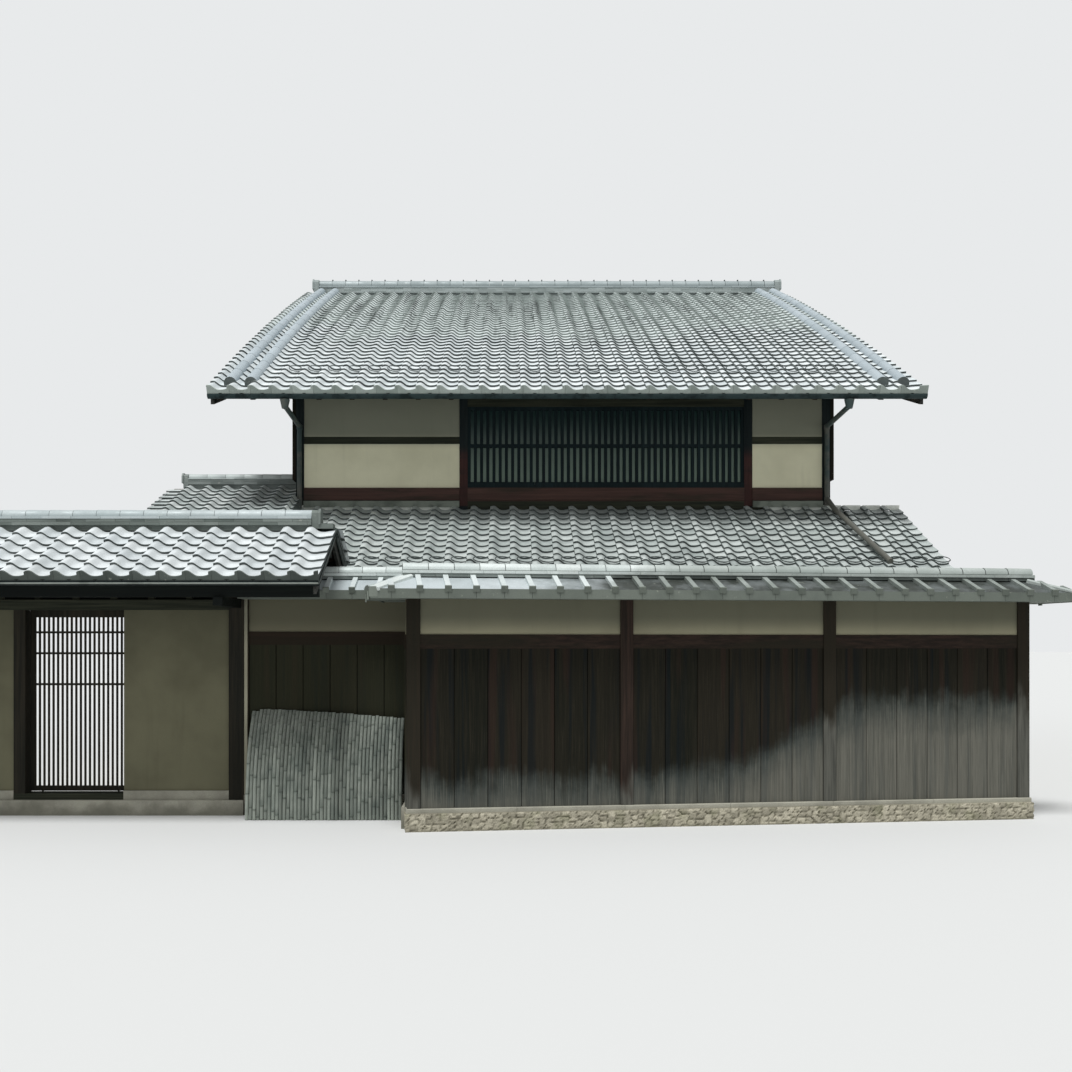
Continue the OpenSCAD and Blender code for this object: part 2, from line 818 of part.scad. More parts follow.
module wing_walls() {
    y0 = wing_ridge_y - wing_run + wing_wall_in;
    y1 = wing_ridge_y + wing_run - wing_wall_in;
    x0 = wing_x0 + wing_wall_in;
    foot = -base_h;
    color(plaster) lift() {
        along_x(x0, wing_x1) polygon([
            [y0, foot], [y0 + wing_wall_t, foot], [y0 + wing_wall_t, wing_seat(y0 + wing_wall_t)],
            [y0, wing_seat(y0)]
        ]);
        along_x(x0, wing_x1) polygon([
            [y1 - wing_wall_t, foot], [y1, foot], [y1, wing_seat(y1)],
            [y1 - wing_wall_t, wing_seat(y1 - wing_wall_t)]
        ]);
        along_x(x0, x0 + wing_wall_t) polygon([
            [y0, foot], [y1, foot], [y1, wing_seat(y1)], [wing_ridge_y, wing_seat(wing_ridge_y)],
            [y0, wing_seat(y0)]
        ]);
    }
}

module wing_deck() {
    y0 = wing_ridge_y - wing_run;
    y1 = wing_ridge_y + wing_run;
    up = deck_t / cos(wing_pitch);
    color(timber) lift()
        along_x(wing_x0, wing_x1) polygon([
            [y0, wing_under(y0)], [y0, wing_under(y0) + up], [wing_ridge_y, wing_z],
            [y1, wing_under(y1) + up], [y1, wing_under(y1)], [wing_ridge_y, wing_under(wing_ridge_y)]
        ]);
}

module wing_tiles() {
    n = floor(wing_w / tile_w);
    w = (wing_x1 - wing_x0) / n;
    z = wing_z - tan(wing_pitch) * wing_ridge_half;
    color(tile_grey) lift() {
        tile_sheet(n, w, wing_x0, wing_ridge_y - wing_ridge_half, z, wing_pitch,
            wing_run - wing_ridge_half + tile_over, 0);
        translate([wing_x0 + wing_x1, 2 * wing_ridge_y, 0]) rotate([0, 0, 180])
            tile_sheet(n, w, wing_x0, wing_ridge_y - wing_ridge_half, z, wing_pitch,
                wing_run - wing_ridge_half + tile_over, 0);
    }
}

module wing_ridge() {
    end_in = 110;
    end_length = 80;
    x0 = wing_x0 + end_in + end_length;
    z_low = wing_z + 43;
    course_h = 34;
    thin_h = 8;
    cap_r = 50;
    color(tile_grey) lift() {
        ridge_stack(x0, wing_x1, wing_ridge_y, wing_z, wing_pitch, wing_ridge_half,
            z_low, 2, course_h, thin_h, cap_r);
        translate([2 * x0, 0, 0]) mirror([1, 0, 0])
            ridge_end(x0, end_length, end_length - 20, wing_ridge_y, wing_z + seat, z_low + course_h,
                z_low + 2 * course_h + thin_h + cap_r * 4 / 3, wing_ridge_half - 20);
    }
}

// Upright boards on the upper part of the side walls, cut for the roof beams and above the wing's ridge
module side_cladding() {
    top = [for (y = steps(house_d, 0, 2 * arc_steps)) [y, gable_z(y, rafter_top_d)]];
    difference() {
        along_x(outer_x, outer_x + clad_t) polygon(concat([[0, clad_z], [house_d, clad_z]], top));
        for (y = beam_ys) {
            along_x(outer_x - 1, outer_x + clad_t + 1) polygon(beam_profile(y - post / 2, y + post / 2));
        }
    }
}

module side_boards() {
    notch_half = wing_ridge_half + 20;
    notch_top = wing_z + 245;
    color(dark_timber) lift() {
        side_cladding();
        difference() {
            mirror([1, 0, 0]) side_cladding();
            block(-outer_x - clad_t - 1, -outer_x + 1, wing_ridge_y - notch_half, wing_ridge_y + notch_half,
                clad_z - 1, notch_top);
        }
    }
}

module gate_posts() {
    color(timber) lift() {
        for (x = [gate_left, gate_right]) {
            block(x - gate_post / 2, x + gate_post / 2, gate_y - gate_post / 2, post_back, 0, gate_post_h);
        }
        block(doorway_x0 - door_post, doorway_x0, beam_y0, leaf_y + leaf_t + 10, gate_sill_h, head_z);
    }
}

// Threshold and raised track, head beam with the leaf's top guide, and the slatted transom
module gate_beams() {
    x0 = gate_left + gate_post / 2;
    x1 = gate_right - gate_post / 2;
    tie_h = 160;
    tie_z = gate_post_h - tie_h;
    slat = 60;
    slats = 9;
    guide_y = leaf_y + leaf_t + leaf_gap;
    color(timber) lift() {
        block(doorway_x0 - door_post, doorway_x1, beam_y0, guide_y + 10, 0, gate_sill_h);
        block(doorway_x1 - 1, x1, beam_y1, guide_y + 10, 0, gate_sill_h);
        block(doorway_x0, x1, leaf_y + leaf_t / 2 - 6, leaf_y + leaf_t / 2 + 6, gate_sill_h - 1,
            gate_sill_h + rail_h);
        block(x0, x1, beam_y0, beam_y1, head_z, head_z + head_h);
        block(x0, x1, beam_y0, beam_y1, tie_z, gate_post_h);
        for (i = [0 : slats - 1]) {
            x = x0 + (x1 - x0 - slat) * i / (slats - 1);
            block(x, x + slat, gate_y - 25, gate_y + 25, head_z + head_h - 1, tie_z + 1);
        }
        block(doorway_x0, x1, beam_y1 - 1, guide_y + 16, leaf_z1 + leaf_gap, leaf_z1 + leaf_gap + 30);
        block(doorway_x0, x1, guide_y, guide_y + 16, leaf_z1 - 20, leaf_z1 + leaf_gap + 1);
    }
}

// Arms that reach out of the outer posts and carry the purlins
module gate_arms() {
    half = arm_w / 2;
    color(dark_timber) lift()
        for (x = [gate_left, gate_right]) {
            block(x - half, x + half, front_purlin - 40, gate_y - gate_post / 2, arm_z, arm_z + arm_h);
            block(x - half, x + half, post_back, rear_purlin + purlin_w + 40, arm_z, arm_z + arm_h);
        }
}

// Front and rear purlins and the ridge beam under the gate's rafters
module gate_purlins() {
    ridge_w = 50;
    foot = arm_z + arm_h;
    color(dark_timber) lift() {
        for (y = [front_purlin, rear_purlin]) {
            along_x(gate_x - gate_end, gate_x + gate_end) polygon([
                [y, foot], [y + purlin_w, foot],
                [y + purlin_w, gate_rafter_low(y + purlin_w) - seat], [y, gate_rafter_low(y) - seat]
            ]);
        }
        along_x(gate_x - gate_end, gate_x + gate_end) polygon([
            [gate_y - ridge_w, gate_post_h], [gate_y + ridge_w, gate_post_h],
            [gate_y + ridge_w, gate_rafter_low(gate_y + ridge_w) - seat],
            [gate_y, gate_rafter_low(gate_y) - seat],
            [gate_y - ridge_w, gate_rafter_low(gate_y - ridge_w) - seat]
        ]);
    }
}

module gate_rafters() {
    y0 = gate_rafter_y0;
    y1 = gate_rafter_y1;
    width = 44;
    margin = 30;
    for (i = [0 : gate_rafters_n - 1]) {
        x = gate_x - gate_end + margin + (2 * (gate_end - margin) - width) * i / (gate_rafters_n - 1);
        along_x(x, x + width) polygon([
            [y0, gate_seat(y0)], [gate_y, gate_seat(gate_y)], [y1, gate_seat(y1)],
            [y1, gate_rafter_low(y1)], [gate_y, gate_rafter_low(gate_y)], [y0, gate_rafter_low(y0)]
        ]);
    }
}

module gate_panels() {
    y0 = gate_y - panel_front;
    y1 = gate_y + panel_front;
    color(plaster) lift() {
        block(gate_left + gate_post / 2, doorway_x0 - door_post, y0, y1, gate_band_h, head_z);
        block(doorway_x1, gate_right - gate_post / 2, y0, y1, gate_band_h, head_z);
    }
}

// Base of the gate, with a band under each plaster panel
module gate_sill() {
    band_y0 = gate_y - panel_front - gate_band_out;
    color(stone) lift() {
        block(gate_left - gate_post / 2, gate_right + gate_post / 2, gate_y - 110, gate_y + 150, -base_h, 0);
        block(gate_left + gate_post / 2, doorway_x0 - door_post, band_y0, beam_y1, -1, gate_band_h);
        block(doorway_x1, gate_right - gate_post / 2, band_y0, beam_y1, -1, gate_band_h);
    }
}

module gate_deck() {
    y0 = gate_y - gate_front_run;
    y1 = gate_y + gate_rear_run;
    up = gate_deck_t / cos(gate_pitch);
    color(timber) lift()
        along_x(gate_x - gate_half, gate_x + gate_half) polygon([
            [y0, gate_under(y0)], [y0, gate_under(y0) + up], [gate_y, gate_z],
            [y1, gate_under(y1) + up], [y1, gate_under(y1)], [gate_y, gate_under(gate_y)]
        ]);
}

module gate_tiles() {
    z = gate_z - tan(gate_pitch) * gate_ridge_half;
    x0 = gate_x - gate_half;
    color(tile_grey) lift() {
        tile_sheet(gate_tiles_n, gate_tile_w, x0, gate_y - gate_ridge_half, z, gate_pitch,
            gate_front_run - gate_ridge_half + tile_over, 0);
        translate([2 * gate_x, 2 * gate_y, 0]) rotate([0, 0, 180])
            tile_sheet(gate_tiles_n, gate_tile_w, x0, gate_y - gate_ridge_half, z, gate_pitch,
                gate_rear_run - gate_ridge_half, 0);
    }
}

module gate_ridge() {
    end_length = 90;
    end_h = 140;
    end_up = 10;
    end_in = 150;
    end = gate_half - end_length - end_in;
    course_h = 33;
    thin_h = 14;
    cap_r = 62;
    z_low = gate_z + 30;
    z_end = z_low + 2 * course_h + thin_h + cap_r * 4 / 3;
    color(tile_grey) lift() {
        ridge_stack(gate_x - end, gate_x + end, gate_y, gate_z, gate_pitch, gate_ridge_half,
            z_low, 2, course_h, thin_h, cap_r);
        for (side = [0, 1]) {
            translate([gate_x, 0, 0]) mirror([side, 0, 0])
                ridge_end(end, end_length, end_length + end_in - 30, gate_y, gate_z + seat,
                    z_end - end_h, z_end + end_up,
                    gate_ridge_half - 20);
        }
    }
}

// Sliding leaf: a framed lattice on two rollers
module gate_door() {
    stile = 34;
    foot = 50;
    head = 90;
    rail = 22;
    bar = 18;
    bar_depth = 20;
    bar_y = leaf_y + 5;
    roller_in = 120;
    inner0 = leaf_x0 + stile;
    inner1 = leaf_x0 + leaf_w - stile;
    pitch = (inner1 - inner0 - bar) / (leaf_bars - 1);
    roller_y = leaf_y + leaf_t / 2;
    color(dark_timber) lift() {
        block(leaf_x0, inner0, leaf_y, leaf_y + leaf_t, leaf_z0, leaf_z1);
        block(inner1, leaf_x0 + leaf_w, leaf_y, leaf_y + leaf_t, leaf_z0, leaf_z1);
        block(leaf_x0, leaf_x0 + leaf_w, leaf_y, leaf_y + leaf_t, leaf_z0, leaf_z0 + foot);
        block(leaf_x0, leaf_x0 + leaf_w, leaf_y, leaf_y + leaf_t, leaf_z1 - head, leaf_z1);
        for (i = [0 : leaf_bars - 1]) {
            x = inner0 + i * pitch;
            block(x, x + bar, bar_y, bar_y + bar_depth, leaf_z0 + foot - 1, leaf_z1 - head + 1);
        }
        for (z = [1130, 1440, 1650]) {
            block(inner0 - 1, inner1 + 1, bar_y, bar_y + bar_depth, z, z + rail);
        }
        for (x = [leaf_x0 + roller_in, leaf_x0 + leaf_w - roller_in]) {
            translate([x, roller_y - 6, gate_sill_h + rail_h + seat + roller_r])
                rotate([-90, 0, 0]) cylinder(h = 12, r = roller_r);
        }
    }
}

// Placements of the three stretches of wall, each drawn along X with its outer side at -Y
module at_street() {
    translate([wall_start[0], wall_start[1], 0]) rotate([0, 0, wall_turn]) children();
}

module at_return() {
    translate([ret_x, gate_y, 0]) rotate([0, 0, -90]) children();
}

module at_recess() {
    translate([recess_x0, gate_y, 0]) children();
}

return_s0 = wall_post / 2;
return_s1 = recess_d - 75;
recess_s0 = jamb_w;
recess_s1 = recess_w - wall_post / 2;

module wall_sill() {
    plinth = 110;
    sill = 80;
    end = 70;
    return_end = recess_d - 20;
    color(stone) lift() {
        at_street() {
            block(-sill, wall_len + sill, -plinth, plinth, -base_h, plinth_z);
            block(-end, wall_len + end, -sill, sill, plinth_z - 1, wall_foot_z);
        }
        difference() {
            union() {
                at_return() block(0, return_end, -sill, sill, -base_h, wall_foot_z);
                at_recess() block(0, recess_w + sill, -sill, sill, -base_h, wall_foot_z);
            }
            at_street() block(-recess_d, recess_d, -recess_d, plinth + seat, -base_h - 1, wall_foot_z + 1);
        }
    }
}

module wall_frame() {
    half = wall_post / 2;
    color(timber) lift() {
        at_street() {
            for (i = [0 : wall_bays]) {
                block(i * wall_bay - half, i * wall_bay + half, -half, half, wall_foot_z, wall_eave_z);
            }
        }
        at_recess() {
            block(recess_w - half, recess_w + half, -half, half, wall_foot_z, wall_eave_z + recess_up);
            block(0, jamb_w, -half, half, wall_foot_z, wall_eave_z + recess_up);
        }
    }
}

// Rails over the boards, let in between the posts
module wall_rails() {
    post_half = wall_post / 2;
    half = post_half - 10;
    top = board_z + wall_rail_h;
    color(timber) lift() {
        at_street()
            for (i = [0 : wall_bays - 1]) {
                block(i * wall_bay + post_half, (i + 1) * wall_bay - post_half, -half, half, board_z, top);
            }
        at_return() block(return_s0, return_s1, -half, half, board_z, top);
        at_recess() block(recess_s0, recess_s1, -half, half, board_z + recess_up, top + recess_up);
    }
}

module wall_boards() {
    half = wall_post / 2;
    color(dark_timber) lift() {
        at_street()
            for (i = [0 : wall_bays - 1]) {
                block(i * wall_bay + half, (i + 1) * wall_bay - half, board_y, board_y + board_t, wall_foot_z,
                    board_z);
            }
        at_return() block(return_s0, return_s1, board_y, board_y + board_t, wall_foot_z, board_z);
        at_recess() block(recess_s0, recess_s1, board_y, board_y + board_t, wall_foot_z, board_z + recess_up);
    }
}

module wall_plaster() {
    post_half = wall_post / 2;
    half = plaster_t / 2;
    z0 = board_z + wall_rail_h;
    color(plaster) lift() {
        at_street()
            for (i = [0 : wall_bays - 1]) {
                block(i * wall_bay + post_half, (i + 1) * wall_bay - post_half, -half, half, z0, wall_eave_z);
            }
        at_return() block(return_s0, return_s1, -half, half, z0, wall_eave_z);
        at_recess() block(recess_s0, recess_s1, -half, half, z0 + recess_up, wall_eave_z + recess_up);
    }
}

wall_eave_top = wall_eave_z + wall_eave_t;
wall_top = wall_eave_top + wall_rise;
function wall_roof_section(half) = [
    [-half, wall_eave_z], [half, wall_eave_z], [half, wall_eave_top],
    [wall_ridge_w, wall_top], [-wall_ridge_w, wall_top], [-half, wall_eave_top]
];

// Small tiled roof: hipped over the street wall, gabled over the recess
module wall_roof() {
    hip_run = wall_roof_half - wall_ridge_w;
    s0 = -wall_hip_over;
    s1 = wall_len + wall_hip_over;
    recess_end = recess_w + wall_roof_half - 100;
    return_in = 300;
    color(tile_grey) lift() {
        at_street()
            intersection() {
                along_x(s0, s1) polygon(wall_roof_section(wall_roof_half));
                translate([0, wall_roof_half + 1, 0]) rotate([90, 0, 0])
                    linear_extrude(2 * wall_roof_half + 2)
                    polygon([[s0, wall_eave_z], [s1, wall_eave_z], [s1, wall_eave_top],
                        [s1 - hip_run, wall_top], [s0 + hip_run, wall_top], [s0, wall_eave_top]]);
            }
        at_recess() translate([0, 0, recess_up])
            along_x(0, recess_end) polygon(wall_roof_section(wall_roof_half));
        at_return()
            along_x(return_in, recess_d - return_in)
                polygon(wall_roof_section(wall_roof_half - wall_ridge_w));
    }
}

// A course, a thin wider one and a round cap
module wall_ridge_run(x0, x1) {
    half = 85;
    thin_half = 95;
    course = wall_top + 48;
    thin = course + 13;
    cap_up = 21;
    cap_r = 60;
    block(x0, x1, -half, half, wall_top, course);
    block(x0, x1, -thin_half, thin_half, course, thin);
    translate([x0, 0, thin + cap_up]) rotate([0, 90, 0]) cylinder(h = x1 - x0, r = cap_r);
}

module wall_ridge() {
    hip_in = wall_roof_half - wall_ridge_w - wall_hip_over;
    color(tile_grey) lift() {
        at_street() wall_ridge_run(hip_in, wall_len - hip_in);
        at_recess() translate([0, 0, recess_up]) wall_ridge_run(0, recess_w);
    }
}

// Curved screen of split bamboo that leans on the recessed bay
module bamboo_screen() {
    top_angle = 62;
    thick = 20;
    n = 10;
    screen_in = 85;
    screen_end_in = 120;
    y_top = gate_y + board_y - seat;
    function out(a) = screen_out * (cos(a) - cos(top_angle)) / (1 - cos(top_angle));
    function up(a) = screen_h * sin(a) / sin(top_angle) - base_h;
    outer = [for (a = steps(0, top_angle, n)) [y_top - thick - out(a), up(a)]];
    inner = [for (i = [n : -1 : 0]) [outer[i][0] + thick, outer[i][1]]];
    color(bamboo) lift()
        along_x(recess_x0 + screen_in, recess_x0 + recess_w - screen_end_in) polygon(concat(outer, inner));
}

foundation();
ground_floor();
upper_floor();
left_wall();
right_wall();
rear_wall();
ground_front_wall();
door_head_wall();
posts();
front_rails();
front_plaster();
window_lattices();
window_panes();
roof_beams();
rafters();
deck_front();
deck_rear();
tiles_front();
tiles_rear();
verge_covers();
bargeboards();
main_ridge();
gutters();
downpipes();
leanto_deck();
leanto_tiles();
wing_walls();
wing_deck();
wing_tiles();
wing_ridge();
gate_posts();
gate_beams();
gate_arms();
gate_purlins();
gate_panels();
gate_sill();
gate_deck();
gate_tiles();
gate_ridge();
gate_door();
wall_sill();
wall_frame();
wall_boards();
wall_plaster();
wall_roof();
wall_ridge();
bamboo_screen();
wall_rails();
side_boards();
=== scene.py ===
import math

import bpy
import numpy as np
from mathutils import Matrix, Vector


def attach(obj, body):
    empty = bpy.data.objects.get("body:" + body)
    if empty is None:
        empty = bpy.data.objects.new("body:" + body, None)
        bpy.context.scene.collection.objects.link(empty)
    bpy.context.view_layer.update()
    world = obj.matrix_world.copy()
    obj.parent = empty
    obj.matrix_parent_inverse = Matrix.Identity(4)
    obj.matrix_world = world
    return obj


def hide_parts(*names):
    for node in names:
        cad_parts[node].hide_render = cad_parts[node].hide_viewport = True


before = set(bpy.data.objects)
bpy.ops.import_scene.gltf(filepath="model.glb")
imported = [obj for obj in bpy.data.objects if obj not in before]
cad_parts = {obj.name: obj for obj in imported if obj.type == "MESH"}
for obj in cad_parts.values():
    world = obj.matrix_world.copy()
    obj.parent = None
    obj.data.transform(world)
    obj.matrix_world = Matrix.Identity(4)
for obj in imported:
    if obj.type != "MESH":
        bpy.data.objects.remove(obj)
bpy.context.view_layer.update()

# Machiya townhouse. Metres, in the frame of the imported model: +Z up, +Y to the back, ground at z = 0.
# Heights are measured from the gate floor, as in the model's source, and each place adds base_h to them.
SEED = 2609
rng = np.random.default_rng(SEED)

# House and main roof
base_h = 0.15
house_w = 6.48
house_d = 12.4
post = 0.10
outer_x = (house_w + post) / 2
ridge_y = house_d / 2
roof_r = 104.0
ridge_angle = math.radians(21.3)
plate_z = 4.772
eave_over = 1.0
tile_over = 0.03
deck_t = 0.02
rafter_h = 0.085
roof_half = outer_x + 0.835
roof_tiles = 34
roof_tile_w = 0.24
roof_x0 = -4.094
roof_courses = 37
verge_in = 0.06
ridge_half = 0.125
ridge_up = 0.1
cover_r = 0.073
cover_in = 0.225
cover_side = 0.035
bed_low = 0.024
bed_rise = 0.064
roof_cy = ridge_y + roof_r * math.sin(ridge_angle)
roof_cz = plate_z - math.sqrt((roof_r - deck_t - rafter_h) ** 2 - roof_cy ** 2)

# Lower roof
leanto_run = 2.0
leanto_z = 3.185
leanto_pitch = math.radians(25.2)
leanto_x0 = -outer_x
leanto_x1 = outer_x + 0.84
leanto_tiles_n = 31
leanto_courses = 12

# Side wing
wing_pitch = math.radians(20.6)
wing_x0 = -outer_x - 1.618
wing_x1 = -outer_x - 0.0004
wing_ridge_y = 0.45
wing_run = 1.5
wing_z = 3.515
wing_ridge_half = 0.09
wing_tiles_n = 7
wing_courses = 9

# Gate
gate_y = -2.85
gate_x = -4.98
gate_tile_w = 0.236
gate_tiles_n = 22
gate_half = gate_tiles_n * gate_tile_w / 2
gate_pitch = math.radians(25.85)
gate_z = 2.685
gate_front_run = 1.14
gate_rear_run = 0.72
gate_ridge_half = 0.1
gate_gutter_y = -3.9953
gate_gutter_z = 2.1119
gate_gutter_r = 0.045

# Upper window
window_x0 = -1.227
window_x1 = 2.281

# Street wall
wall_start = Vector((-1.54, -3.93, 0))
wall_turn = math.radians(8)
wall_bay = 1.97
wall_bays = 3
wall_len = wall_bay * wall_bays
wall_post = 0.12
recess_x0 = -3.295
recess_w = 1.715
recess_d = 1.08
recess_up = 0.035
jamb_w = 0.045
wall_foot_z = 0.055
plinth_top = 0.013
board_z = 1.5
board_y = -0.045
board_t = 0.024
board_gap = 0.0025

# Street wall's roof
wall_eave_z = 1.95
wall_eave_top = wall_eave_z + 0.064
wall_rise = 0.116
wall_top = wall_eave_top + wall_rise
wall_ridge_w = 0.06
wall_roof_half = 0.36
wall_hip_over = 0.4
hip_run = wall_roof_half - wall_ridge_w
rib_step = 0.25
rib_w = 0.046
rib_h = 0.03
pan_t = 0.016

# Tiles: across, u runs from 0 at the top of the wave through its trough to a lip.
tile_t = 0.025
tile_thick = 0.015
tile_base = tile_t - 0.011
tile_lift = tile_t + 0.011
wave_h = 0.055
trough_u = 0.46
rise_u = 0.52
lip_u = 0.83
lip_low = 0.27
lip_fall = 0.2
WAVE_U = [0, 0.045, 0.09, 0.14, 0.2, 0.27, 0.35, 0.46, 0.58, 0.71]
TILE_U = np.array([-0.17, -0.15, -0.09, *WAVE_U, 0.83])
PLATE_U = np.array([-0.045, *WAVE_U, 0.828, 0.832, 0.87, 0.945])

# Places of the materials in each roof piece's list. PAN and RIB are the street wall's.
TILE, FACE, DARK, COURSE, FILL, PLATE = range(6)
PAN, RIB = 4, 5

BOX_FACES = [(0, 1, 3, 2), (4, 6, 7, 5), (0, 4, 5, 1), (2, 3, 7, 6), (0, 2, 6, 4), (1, 5, 7, 3)]
BOX_INSIDE_OUT = [face[::-1] for face in BOX_FACES]


class Piece:
    """Gathers the faces of one object. Each part has a tone from 0 to 1 and a grain, its own coordinates.

    The tone is one number for all copies, one for each, or one for every vertex of each."""

    def __init__(self):
        self.points, self.tones, self.grains = [], [], []
        self.faces, self.smooth, self.kinds = [], [], []
        self.count = 0

    def add(self, points, faces, tone=0.5, grain=None, smooth=False, kind=TILE):
        """Adds copies of a part: points is (..., vertices, 3), and faces index one copy's vertices."""
        points = np.asarray(points, float)
        if points.ndim == 2:
            points = points[None]
        copies, size = points.shape[:2]
        grain = points if grain is None else np.broadcast_to(grain, points.shape)
        tone = np.asarray(tone, float)
        tone = np.broadcast_to(tone if tone.ndim == 2 else tone.reshape(-1, 1), (copies, size))
        self.points.append(points.reshape(-1, 3))
        self.grains.append(grain.reshape(-1, 3))
        self.tones.append(tone.reshape(-1))
        starts = self.count + size * np.arange(copies)
        for face in faces:
            self.faces += (starts[:, None] + np.array(face)).tolist()
        self.smooth += [smooth] * (len(faces) * copies)
        self.kinds += [kind] * (len(faces) * copies)
        self.count += copies * size

    def block(self, place, corners, tone=0.5, grain=None, kind=TILE, faces=BOX_FACES):
        """Adds a block from its corners, as box_points gives them, before they are placed."""
        self.add(place(*corners.T), faces, tone, grain, kind=kind)

    def build(self, name, materials, slot, nodes=(), body="house"):
        mesh = bpy.data.meshes.new(name)
        mesh.from_pydata(np.concatenate(self.points).tolist(), [], self.faces)
        for material in materials:
            mesh.materials.append(material)
        mesh.polygons.foreach_set("use_smooth", self.smooth)
        mesh.polygons.foreach_set("material_index", self.kinds)
        mesh.attributes.new("tone", "FLOAT", "POINT").data.foreach_set("value", np.concatenate(self.tones))
        mesh.attributes.new("grain", "FLOAT_VECTOR", "POINT").data.foreach_set(
            "vector", np.concatenate(self.grains).ravel())
        mesh.update()
        piece = bpy.data.objects.new(name, mesh)
        bpy.context.scene.collection.objects.link(piece)
        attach(piece, body)
        if nodes:
            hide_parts(*nodes)
        return piece


def box_points(x0, x1, y0, y1, z0, z1):
    """The eight corners of a block, in the order that BOX_FACES reads."""
    return np.array([(x, y, z) for x in (x0, x1) for y in (y0, y1) for z in (z0, z1)], float)


def strip_faces(n, m, closed=False, looped=False):
    """Quads of a grid with n points in each of m rows. Seen from outside, rows go up as points go right.

    closed joins the ends of each row, and looped joins the last row to the first."""
    return [(r * n + i, r * n + (i + 1) % n, (r + 1) % m * n + (i + 1) % n, (r + 1) % m * n + i)
            for r in range(m if looped else m - 1) for i in range(n if closed else n - 1)]


def tube_faces(n, m):
    """The faces of m closed rows of n points and of both ends, the first row's end last."""
    return strip_faces(n, m, closed=True) + [tuple(range((m - 1) * n, m * n)), tuple(range(n - 1, -1, -1))]


def turned(origin, angle=0.0, lift=0.0):
    """A place whose X axis is turned by angle about an upright line through origin."""
    c, s = math.cos(angle), math.sin(angle)

    def place(x, y, z):
        x, y, z = np.broadcast_arrays(x, y, z)
        return np.stack([origin[0] + x * c - y * s, origin[1] + x * s + y * c, z + base_h + lift], -1)
    return place


straight = turned((0, 0))
at_street = turned(wall_start, wall_turn)
at_recess = turned((recess_x0, gate_y), 0.0, recess_up)
at_recess_foot = turned((recess_x0, gate_y))
at_return = turned((recess_x0 + recess_w, gate_y), -math.pi / 2)


def flat_slope(y_eave, z_eave, pitch, centre=None):
    """A plane that rises towards +Y from its eave, or with a centre its copy turned half round that point."""
    c, s = math.cos(pitch), math.sin(pitch)

    def place(across, rise, up):
        x, rise, up = np.broadcast_arrays(across, rise, up)
        y = y_eave + rise * c - up * s
        z = z_eave + rise * s + up * c
        if centre is not None:
            x, y = 2 * centre[0] - x, 2 * centre[1] - y
        return np.stack([x, y, z + base_h], -1)
    return place


# The main roof's arc: its angle at the lower edge of the eave tiles, and its length from there to the ridge.
roof_low = math.asin((roof_cy + eave_over + tile_over) / roof_r)
roof_length = (roof_low - math.asin((roof_cy - ridge_y + ridge_half) / roof_r)) * roof_r


def swept_slope(rear):
    """The swelling slope of the main roof, measured along its arc from the lower edge of the eave tiles.

    Its tiles lie on a bed of clay that gets deeper towards the ridge."""
    def place(across, rise, up):
        x, rise, up = np.broadcast_arrays(across, rise, up)
        angle = roof_low - rise / roof_r
        up = up + bed_low + bed_rise * rise / roof_length
        y = roof_cy - (roof_r + up) * np.sin(angle)
        z = roof_cz + (roof_r + up) * np.cos(angle)
        if rear:
            x, y = -x, house_d - y
        return np.stack([x, y, z + base_h], -1)
    return place


def wave(u):
    """Height of a tile's wave, from 0 to 1: a rounded hump, a fall, a wide trough and a rise to a lip."""
    u = np.asarray(u, float)
    u = np.where(u > lip_u, u - 1, u)
    hump = 1 - lip_fall * (u / (1 - lip_u)) ** 2
    fall = ((1 + np.cos(np.pi * np.clip(u / trough_u, 0, 1))) / 2) ** 1.3
    rise = lip_low * (np.clip(u - rise_u, 0, 1) / (lip_u - rise_u)) ** 2
    return np.where(u < 0, hump, np.where(u < trough_u, fall, rise))


def tile_height(u, flat):
    """Height of a tile's upper face over its trough."""
    return np.where(flat, 0.0, wave(u) * wave_h)


